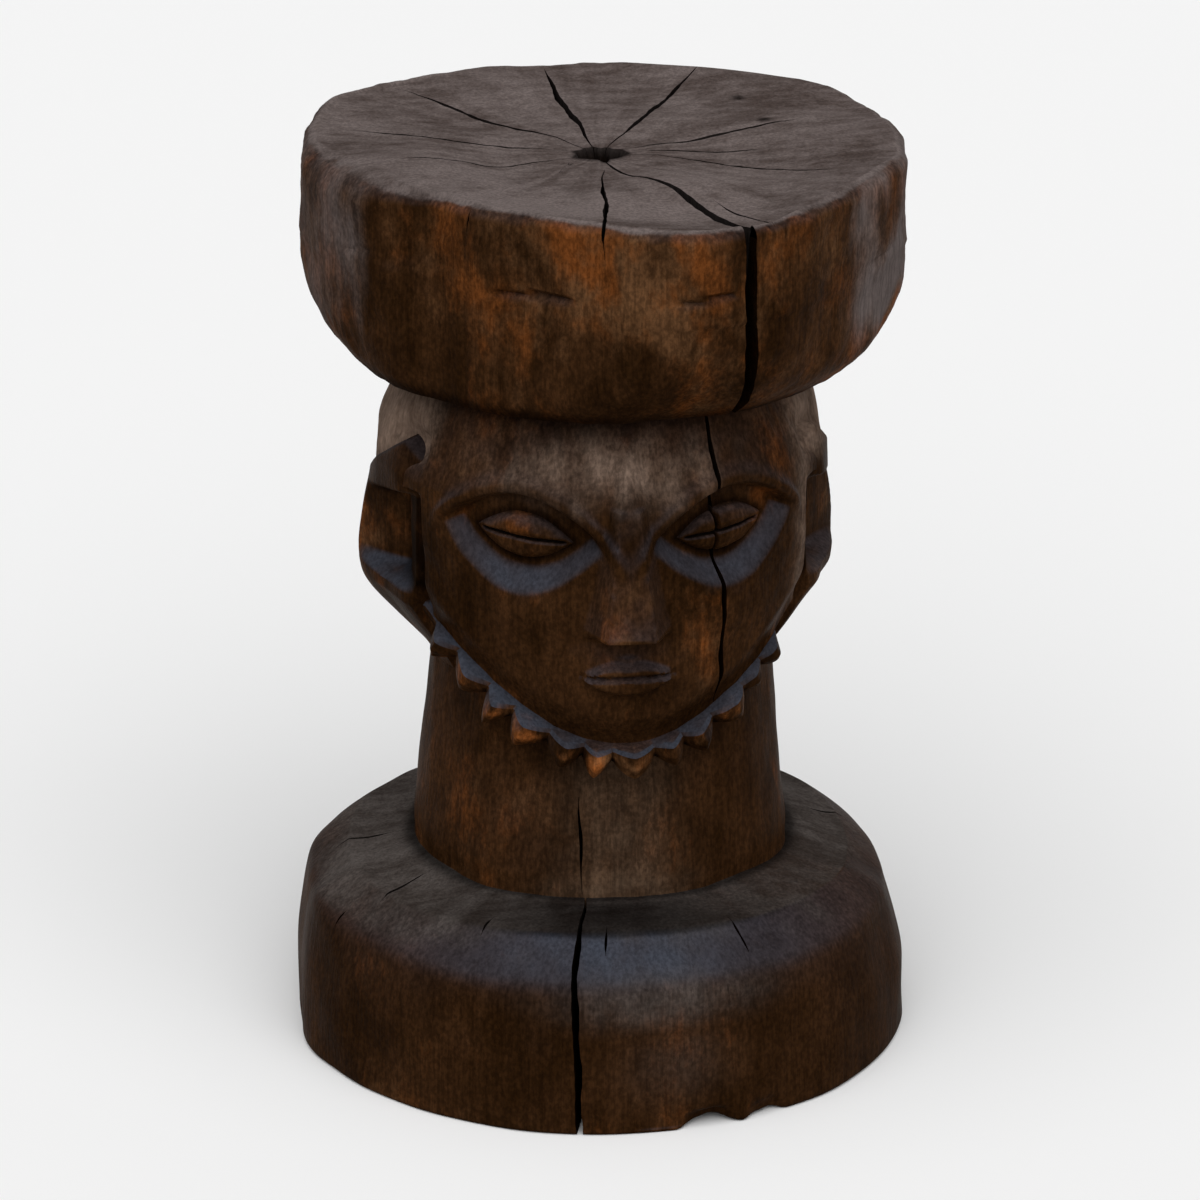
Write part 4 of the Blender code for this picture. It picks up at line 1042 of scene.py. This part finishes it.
def build_ear(side, name):
    """An ear, as a radius by bearing and height: a flared outside, and a hollow between two planes that
    meet in a groove. The hollow ends in a flat arm above and in a lobe with a level ledge below. The back of
    each row lies inside the head."""
    turn = np.linspace(EAR_FRONT - 0.03, EAR_BACK, EAR_COLUMNS)[None, :]
    height = np.linspace(EAR_LOBE_LOW - 0.010, EAR_TOP + 0.003, EAR_ROWS)[:, None]
    flare = EAR_FLARE * hump(height, 0.246, 0.033)
    flare = flare * band(turn, EAR_FLARE_START, EAR_FLARE_FULL, EAR_FLARE_END, EAR_BACK)
    outside = head_barrel(height) + flare + EAR_PROUD
    outside = outside - EAR_FRONT_DROP * fade(math.radians(60), math.radians(70), turn)
    cheek_side = (EAR_GROOVE - turn) / (EAR_GROOVE - EAR_FRONT) * (HEAD_RADIUS - EAR_GROOVE_RADIUS)
    rim_side = (turn - EAR_GROOVE) / (EAR_RIM - EAR_GROOVE) * (EAR_RIM_RADIUS - EAR_GROOVE_RADIUS)
    hollow = np.minimum(EAR_GROOVE_RADIUS + np.maximum(cheek_side, rim_side), outside)
    under_roof = height - ear_roof(turn)
    inside = ease(EAR_LEDGE - 0.0050, EAR_LEDGE + 0.0035, height) * fade(-0.0018, 0.0018, under_roof)
    radius = outside + (hollow - outside) * inside
    below = EAR_LOBE_LOW + EAR_LOBE_NOSE * np.maximum(EAR_LOBE_TURN - turn, 0)
    fullness = 1.05 + 0.75 * ease(EAR_GROOVE, EAR_RIM, turn)
    lobe = 1 - np.clip(1 - (height - below) / EAR_LOBE_HEIGHT, 0, 1) ** fullness
    lobe = np.minimum(lobe, np.maximum(ease(math.radians(57), math.radians(62), turn), inside))
    kept = np.minimum(lobe, fade(EAR_BACK - 0.04, EAR_BACK, turn))
    kept = np.minimum(kept, 1 - 0.55 * ease(-0.0045, 0.0010, height - ear_arm_top(turn)))
    radius = EAR_SUNK + (radius - EAR_SUNK) * kept
    bearing = side * turn
    points = place(bearing, radius, height)
    points = points + place(bearing, 0.0003 * waves(points, 0.028, 71 + side), 0.0)
    back = place(bearing, EAR_INSIDE, height)[:, ::-1]
    grid = np.concatenate([points, back], axis=1)

    deep = ease(0.0003, 0.004, outside - hollow) * inside
    arm = ease(-0.004, 0.006, under_roof)
    # Painted shade in the hollow, its groove and under the arm, and on the front of the left ear's arm.
    cavity = strongest(
        0.10 * deep,
        0.78 * inside * fade(EAR_GROOVE - 0.01, EAR_GROOVE + 0.05, turn),
        0.7 * deep * hump(under_roof, -0.001, 0.003),
        0.50 * (side < 0) * arm * around(turn, 64, 0.13),
    )
    rim = hump(turn, EAR_RIM, 0.10) * hump(height, 0.255, 0.016)
    wear = np.clip(0.13 + 0.12 * waves(points, 0.020, 74) + (0.32 - 0.16 * side) * rim, 0, 1)
    # Grey on the right ear's arm, as at the temples: dry wood lightened further as painted light.
    grey = 0.80 * (side > 0) * arm * ease(0.292, 0.318, height)
    # Painted sheen, weaker towards the back, up on the arm, and on the right ear.
    bloom = (1 - 0.75 * ease(EAR_RIM, EAR_RIM + 0.14, turn)) * (1 - 0.55 * ease(0.280, 0.300, height))
    marks = {
        "wear": backed(wear * (1 - 0.8 * arm), 0),
        "cavity": backed(cavity, 1),
        "grey": backed(grey, 0),
        "bloom": backed(bloom * (0.72 - 0.28 * side), 0),
    }
    return carved(name, grid, grid[0].mean(axis=0), grid[-1].mean(axis=0), marks)


def build_beard():
    """The beard: a section with a sloping ledge and hanging points, carried along the jaw's parabola.

    A wave of humps along the way pushes the outer face out and down into points. One point is worn short.
    """
    along = np.linspace(-1, 1, BEARD_ROWS)
    bearing = BEARD_HALF_ANGLE * along
    tooth = np.clip((bearing - BEARD_FIRST) / (BEARD_LAST - BEARD_FIRST), 0, 1) * BEARD_TEETH
    uneven = 0.10 * np.sin(2.4 * tooth) * band(tooth, 0, 1, BEARD_TEETH - 1, BEARD_TEETH)
    tooth = tooth + uneven
    index = np.minimum(tooth.astype(int), BEARD_TEETH - 1)
    draw = np.random.default_rng(81)
    size = draw.uniform(0.70, 1.12, BEARD_TEETH)
    size[WORN_TOOTH] = WORN_TOOTH_SIZE
    point = (1 - np.abs(2 * (tooth - index) - 1) ** 1.35) * size[index]

    centre = place(bearing, BEARD_TRACK, jaw_height(bearing))
    forward = np.gradient(centre, axis=0)
    forward /= np.linalg.norm(forward, axis=1)[:, None]
    outward = place(bearing, 1.0, 0.0)
    downward = np.cross(forward, outward)
    downward *= np.where(downward[:, 2] > 0, -1, 1)[:, None]

    keys = len(BEARD_SECTION)
    spread = np.linspace(0, keys, BEARD_COLUMNS, endpoint=False)
    looped = np.concatenate([BEARD_SECTION, BEARD_SECTION[:1]])
    steps = np.arange(keys + 1)
    reach, reach_more, fall, fall_more = (np.interp(spread, steps, part) for part in looped.T)
    out = reach + reach_more * point[:, None]
    drop = fall + fall_more * point[:, None]
    thin = 1 - (1 - BEARD_THIN) * ease(BEARD_FADES, BEARD_FADED, bearing)
    closing = (ease(0, 0.05, 1 - np.abs(along)) * thin)[:, None]
    out = BEARD_CORE + (out - BEARD_CORE) * closing
    drop = BEARD_CORE_FALL + (drop - BEARD_CORE_FALL) * closing
    grid = centre[:, None] + outward[:, None] * (out - BEARD_TRACK)[..., None]
    grid = grid + downward[:, None] * drop[..., None]
    grid = grid + outward[:, None] * (0.0003 * waves(grid, 0.012, 82))[..., None]

    valley = fade(0.05, 0.45, point / size[index])[:, None]
    # Painted shade between the points, under the rail and where it meets the cheek.
    cavity = strongest(
        0.88 * valley * hump(spread, 4.6, 1.2),
        ease(6.0, 7.0, spread),
        0.8 * fade(0.9, 1.5, spread),
    )
    rubbed = draw.uniform(0.35, 0.95, BEARD_TEETH)[index] * (0.22 + 0.78 * around(bearing, -9, 0.32))
    upper_edge = hump(spread, 3.7, 0.75) + 0.22 * hump(spread, 5.0, 0.9)
    wear = 0.05 + (rubbed * point)[:, None] * upper_edge + 0.12 * waves(grid, 0.025, 83)
    marks = {"wear": np.clip(wear, 0, 1), "cavity": cavity, "grey": 0.0, "bloom": 1.0}
    return carved("beard_rail", grid, grid[0].mean(axis=0), grid[-1].mean(axis=0), marks, 24)


class Tree:
    """The shader nodes of a material or a world, made and linked by short calls."""

    def __init__(self, owner):
        owner.use_nodes = True
        self.nodes = owner.node_tree.nodes
        self.links = owner.node_tree.links
        self.shader = self.nodes.get("Principled BSDF")

    def add(self, kind, inputs=None, **settings):
        """A node with its settings. Inputs are set if they are values and linked if they are sockets."""
        node = self.nodes.new(kind)
        for key, value in settings.items():
            setattr(node, key, value)
        for key, value in (inputs or {}).items():
            self.feed(node.inputs[key], value)
        return node

    def feed(self, socket, value):
        """A link or a value into a socket. A colour's alpha is 1."""
        if isinstance(value, bpy.types.NodeSocket):
            self.links.new(value, socket)
        elif socket.type == "RGBA":
            socket.default_value = (*value, 1)
        else:
            socket.default_value = value

    def mark(self, name):
        """A vertex attribute's value."""
        return self.add("ShaderNodeAttribute", attribute_name=name).outputs["Fac"]

    def math(self, operation, first, second):
        """A sum, product or other operation on two values."""
        return self.add("ShaderNodeMath", {0: first, 1: second}, operation=operation).outputs[0]

    def mixed(self, *terms):
        """The sum of several values, each times its share."""
        parts = [self.math("MULTIPLY", value, share) for value, share in terms]
        total = parts[0]
        for part in parts[1:]:
            total = self.math("ADD", total, part)
        return total

    def spread(self, value, low, high, start=0.0, end=1.0):
        """A value from low to high, eased on to start to end."""
        inputs = {"Value": value, "From Min": low, "From Max": high, "To Min": start, "To Max": end}
        return self.add("ShaderNodeMapRange", inputs, interpolation_type="SMOOTHSTEP").outputs["Result"]

    def noise(self, stretch, scale, detail, roughness, turn):
        """Noise on the object's own coordinates, stretched along the axes."""
        where = self.add("ShaderNodeTexCoord").outputs["Object"]
        laid = self.add("ShaderNodeMapping", {"Vector": where, "Rotation": (0, 0, turn), "Scale": stretch})
        inputs = {"Vector": laid.outputs[0], "Scale": scale, "Detail": detail, "Roughness": roughness}
        return self.add("ShaderNodeTexNoise", inputs).outputs["Fac"]

    def rays(self, scale, detail):
        """Noise by the way out from the log's axis alone, which draws rays as on sawn end grain."""
        where = self.add("ShaderNodeTexCoord").outputs["Object"]
        flat = self.add("ShaderNodeVectorMath", {0: where, 1: (1, 1, 0)}, operation="MULTIPLY").outputs[0]
        way = self.add("ShaderNodeVectorMath", {0: flat}, operation="NORMALIZE").outputs[0]
        inputs = {"Vector": way, "Scale": scale, "Detail": detail}
        return self.add("ShaderNodeTexNoise", inputs).outputs["Fac"]

    def blend(self, share, first, second):
        """Two colours mixed by a share. A mix node's colours go in at 6 and 7 and come out at 2."""
        node = self.add("ShaderNodeMix", data_type="RGBA")
        self.feed(node.inputs["Factor"], share)
        self.feed(node.inputs[6], first)
        self.feed(node.inputs[7], second)
        return node.outputs[2]

    def seen(self):
        """1 for rays from the camera, off mirrors and through glass, 0 for bounced light."""
        path = self.add("ShaderNodeLightPath").outputs
        direct = self.math("MAXIMUM", path["Is Camera Ray"], path["Is Glossy Ray"])
        return self.math("MAXIMUM", direct, path["Is Transmission Ray"])


def tinted(colour, share):
    """A colour times a number, or part by part times another colour."""
    return tuple(np.multiply(colour, share))


def oiled_wood(name, brown, worn, dry, roughness):
    """Old oiled wood: dark patina over brown, rubbed to orange-brown, dry and grey where it is marked so,
    with painted highlights laid in on the same mark, a painted cool sheen on slopes that face the sky, and
    painted shade that makes it nearly black in its cracks. Grain runs up the log."""
    material = bpy.data.materials.new(name)
    tree = Tree(material)
    grain = {pattern: tree.noise(*how) for pattern, how in GRAIN.items()}
    wear = tree.mark("wear")
    cavity = tree.mark("cavity")
    dry_and_highlit = tree.mark("grey")

    tone = tree.mixed((grain["blotch"], 0.70), (grain["streak"], 0.30))
    ground = tree.blend(tree.spread(tone, 0.36, 0.64), PATINA, brown)
    hue = tree.spread(grain["hue"], 0.40, 0.60)
    bare = tree.blend(hue, tinted(worn, WORN_TAN), tinted(worn, WORN_RUST))
    rubbed = tree.mixed(
        (wear, 1.0),
        (grain["blotch"], 0.75),
        (grain["speck"], 1.0),
        (grain["streak"], 0.15),
    )
    colour = tree.blend(tree.spread(rubbed, 1.05, 1.75), ground, bare)

    # Painted reflection: a cool sheen of sky laid into the colour on slopes that face up.
    facing = tree.add("ShaderNodeNewGeometry").outputs["Normal"]
    upward = tree.add("ShaderNodeSeparateXYZ", {0: facing}).outputs["Z"]
    sheen = tree.spread(upward, 0.05, 0.80)
    sheen = tree.math("MULTIPLY", sheen, tree.spread(upward, 0.86, 0.985, 1.0, 0.25))
    sheen = tree.math("MULTIPLY", sheen, tree.spread(tone, 0.30, 0.62, 0.55, 1.0))
    sheen = tree.math("MULTIPLY", sheen, tree.mark("bloom"))
    colour = tree.blend(sheen, colour, SHEEN)

    sky_tone = tree.mixed(
        (grain["sawn"], 0.26),
        (grain["cloud"], 0.34),
        (tree.rays(9, 5), 0.22),
        (grain["speck"], 0.18),
        (wear, 0.16),
    )
    # Dry, bleached wood; the same mark also lays in painted highlights.
    bleached = tree.blend(tree.spread(sky_tone, 0.37, 0.63), tinted(dry, DRY_SHADED), tinted(dry, DRY_LIT))
    colour = tree.blend(tree.spread(dry_and_highlit, 0.05, 0.95), colour, bleached)

    smooth = tree.math("MAXIMUM", tree.spread(dry_and_highlit, 0.3, 1.0), tree.spread(sheen, 0.1, 0.7))
    fleck = tree.spread(grain["fleck"], 0.36, 0.66, -0.24, 0.30)
    fleck = tree.math("MULTIPLY", fleck, tree.spread(smooth, 0.0, 1.0, 1.0, 0.30))
    pores = tree.spread(grain["fine"], 0.34, 0.62, 0.76, 1.10)
    pores = tree.math("MULTIPLY", pores, tree.math("ADD", fleck, 1.0))
    # Painted shade: the colour darkens with the shade mark, down to CRACK_SHADE.
    shade = tree.math("MULTIPLY", pores, tree.spread(cavity, 0.0, 1.0, 1.0, CRACK_SHADE))
    shaded = tree.add("ShaderNodeVectorMath", {0: colour, "Scale": shade}, operation="SCALE")
    tree.feed(tree.shader.inputs["Base Color"], shaded.outputs[0])

    dull = tree.spread(dry_and_highlit, 0.0, 1.0, roughness, WOOD_DRY_ROUGHNESS)
    dull = tree.math("ADD", dull, tree.spread(cavity, 0.0, 1.0, 0.0, 0.3))
    streaked = tree.math("SUBTRACT", grain["streak"], 0.5)
    tree.feed(tree.shader.inputs["Roughness"], tree.mixed((dull, 1.0), (streaked, 0.18)))
    tree.feed(tree.shader.inputs["Specular IOR Level"], WOOD_SPECULAR)
    relief = tree.mixed((grain["fine"], 0.35), (grain["streak"], 0.30), (grain["speck"], 0.70))
    bump = tree.add("ShaderNodeBump", {"Height": relief, "Strength": 0.55, "Distance": 0.0014})
    tree.feed(tree.shader.inputs["Normal"], bump.outputs[0])
    return material


def pale_floor():
    """The studio floor: a level square, wide enough to fill any view from above. It is pale where it is
    seen and darker as a source of bounced light."""
    mesh = bpy.data.meshes.new("floor")
    corners = [(x * FLOOR_HALF, y * FLOOR_HALF, 0) for x, y in ((-1, -1), (1, -1), (1, 1), (-1, 1))]
    mesh.from_pydata(corners, [], [(0, 1, 2, 3)])
    floor = bpy.data.objects.new("floor", mesh)
    bpy.context.scene.collection.objects.link(floor)
    material = bpy.data.materials.new("floor_paper")
    tree = Tree(material)
    tree.feed(tree.shader.inputs["Base Color"], tree.blend(tree.seen(), FLOOR_BOUNCE, PALE))
    tree.feed(tree.shader.inputs["Roughness"], FLOOR_ROUGHNESS)
    tree.feed(tree.shader.inputs["Specular IOR Level"], 0.0)
    floor.data.materials.append(material)


def sun(name, energy, width, bearing, elevation):
    """A soft far lamp, seen from the stool at a bearing and an elevation, as wide as an angle."""
    lamp = bpy.data.lights.new(name, "SUN")
    lamp.energy = energy
    lamp.angle = math.radians(width)
    hung = bpy.data.objects.new(name, lamp)
    hung.rotation_euler = (math.pi / 2 - math.radians(elevation), 0, math.radians(bearing))
    bpy.context.scene.collection.objects.link(hung)


def studio_light():
    """Soft light from overhead, a weaker one from low in front, and a dim room that looks pale."""
    sun("sky_lamp", *SKY_LAMP)
    sun("front_lamp", *FRONT_LAMP)
    world = bpy.data.worlds.new("room")
    bpy.context.scene.world = world
    tree = Tree(world)
    room = tree.nodes["Background"]
    tree.feed(room.inputs["Color"], ROOM_LIGHT)
    tree.feed(room.inputs["Strength"], ROOM_STRENGTH)
    pale = tree.add("ShaderNodeBackground", {"Color": PALE})
    mix = tree.add("ShaderNodeMixShader", {0: tree.seen(), 1: room.outputs[0], 2: pale.outputs[0]})
    tree.feed(tree.nodes["World Output"].inputs[0], mix.outputs[0])


def photograph_camera():
    """The camera at the photograph's viewing angle: turned to the axis, level across, pitched down."""
    camera = bpy.data.cameras.new("camera")
    camera.sensor_width = CAMERA_SENSOR
    camera.lens = CAMERA_LENS
    seen_from = bpy.data.objects.new("camera", camera)
    seen_from.location = place(CAMERA_BEARING, CAMERA_DISTANCE, CAMERA_HEIGHT)
    seen_from.rotation_euler = (math.pi / 2 - CAMERA_PITCH, 0, CAMERA_BEARING)
    bpy.context.scene.collection.objects.link(seen_from)
    bpy.context.scene.camera = seen_from


def dress(piece, node, material):
    """Sets a finished piece in place of its CAD node, on the stool's one body, in that node's wood."""
    piece.data.materials.append(material)
    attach(piece, "root")
    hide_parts(node)


def main():
    """Every member in its wood, then the studio and the camera."""
    woods = {name: oiled_wood(name + "_oiled_wood", *look) for name, look in WOODS.items()}
    dress(build_seat(), "seat", woods["seat"])
    dress(build_head(), "head", woods["head"])
    dress(build_beard(), "beard", woods["beard"])
    dress(build_neck(), "neck", woods["neck"])
    dress(build_base(), "base", woods["base"])
    for side, word in ((-1, "left"), (1, "right")):
        dress(build_ear(side, word + "_ear_shell"), word + "_ear", woods["ear"])
        dress(build_eye(side, word + "_eye_lens"), word + "_eye", woods["eye"])
    pale_floor()
    studio_light()
    photograph_camera()
    bpy.context.scene.view_settings.view_transform = "Standard"


main()
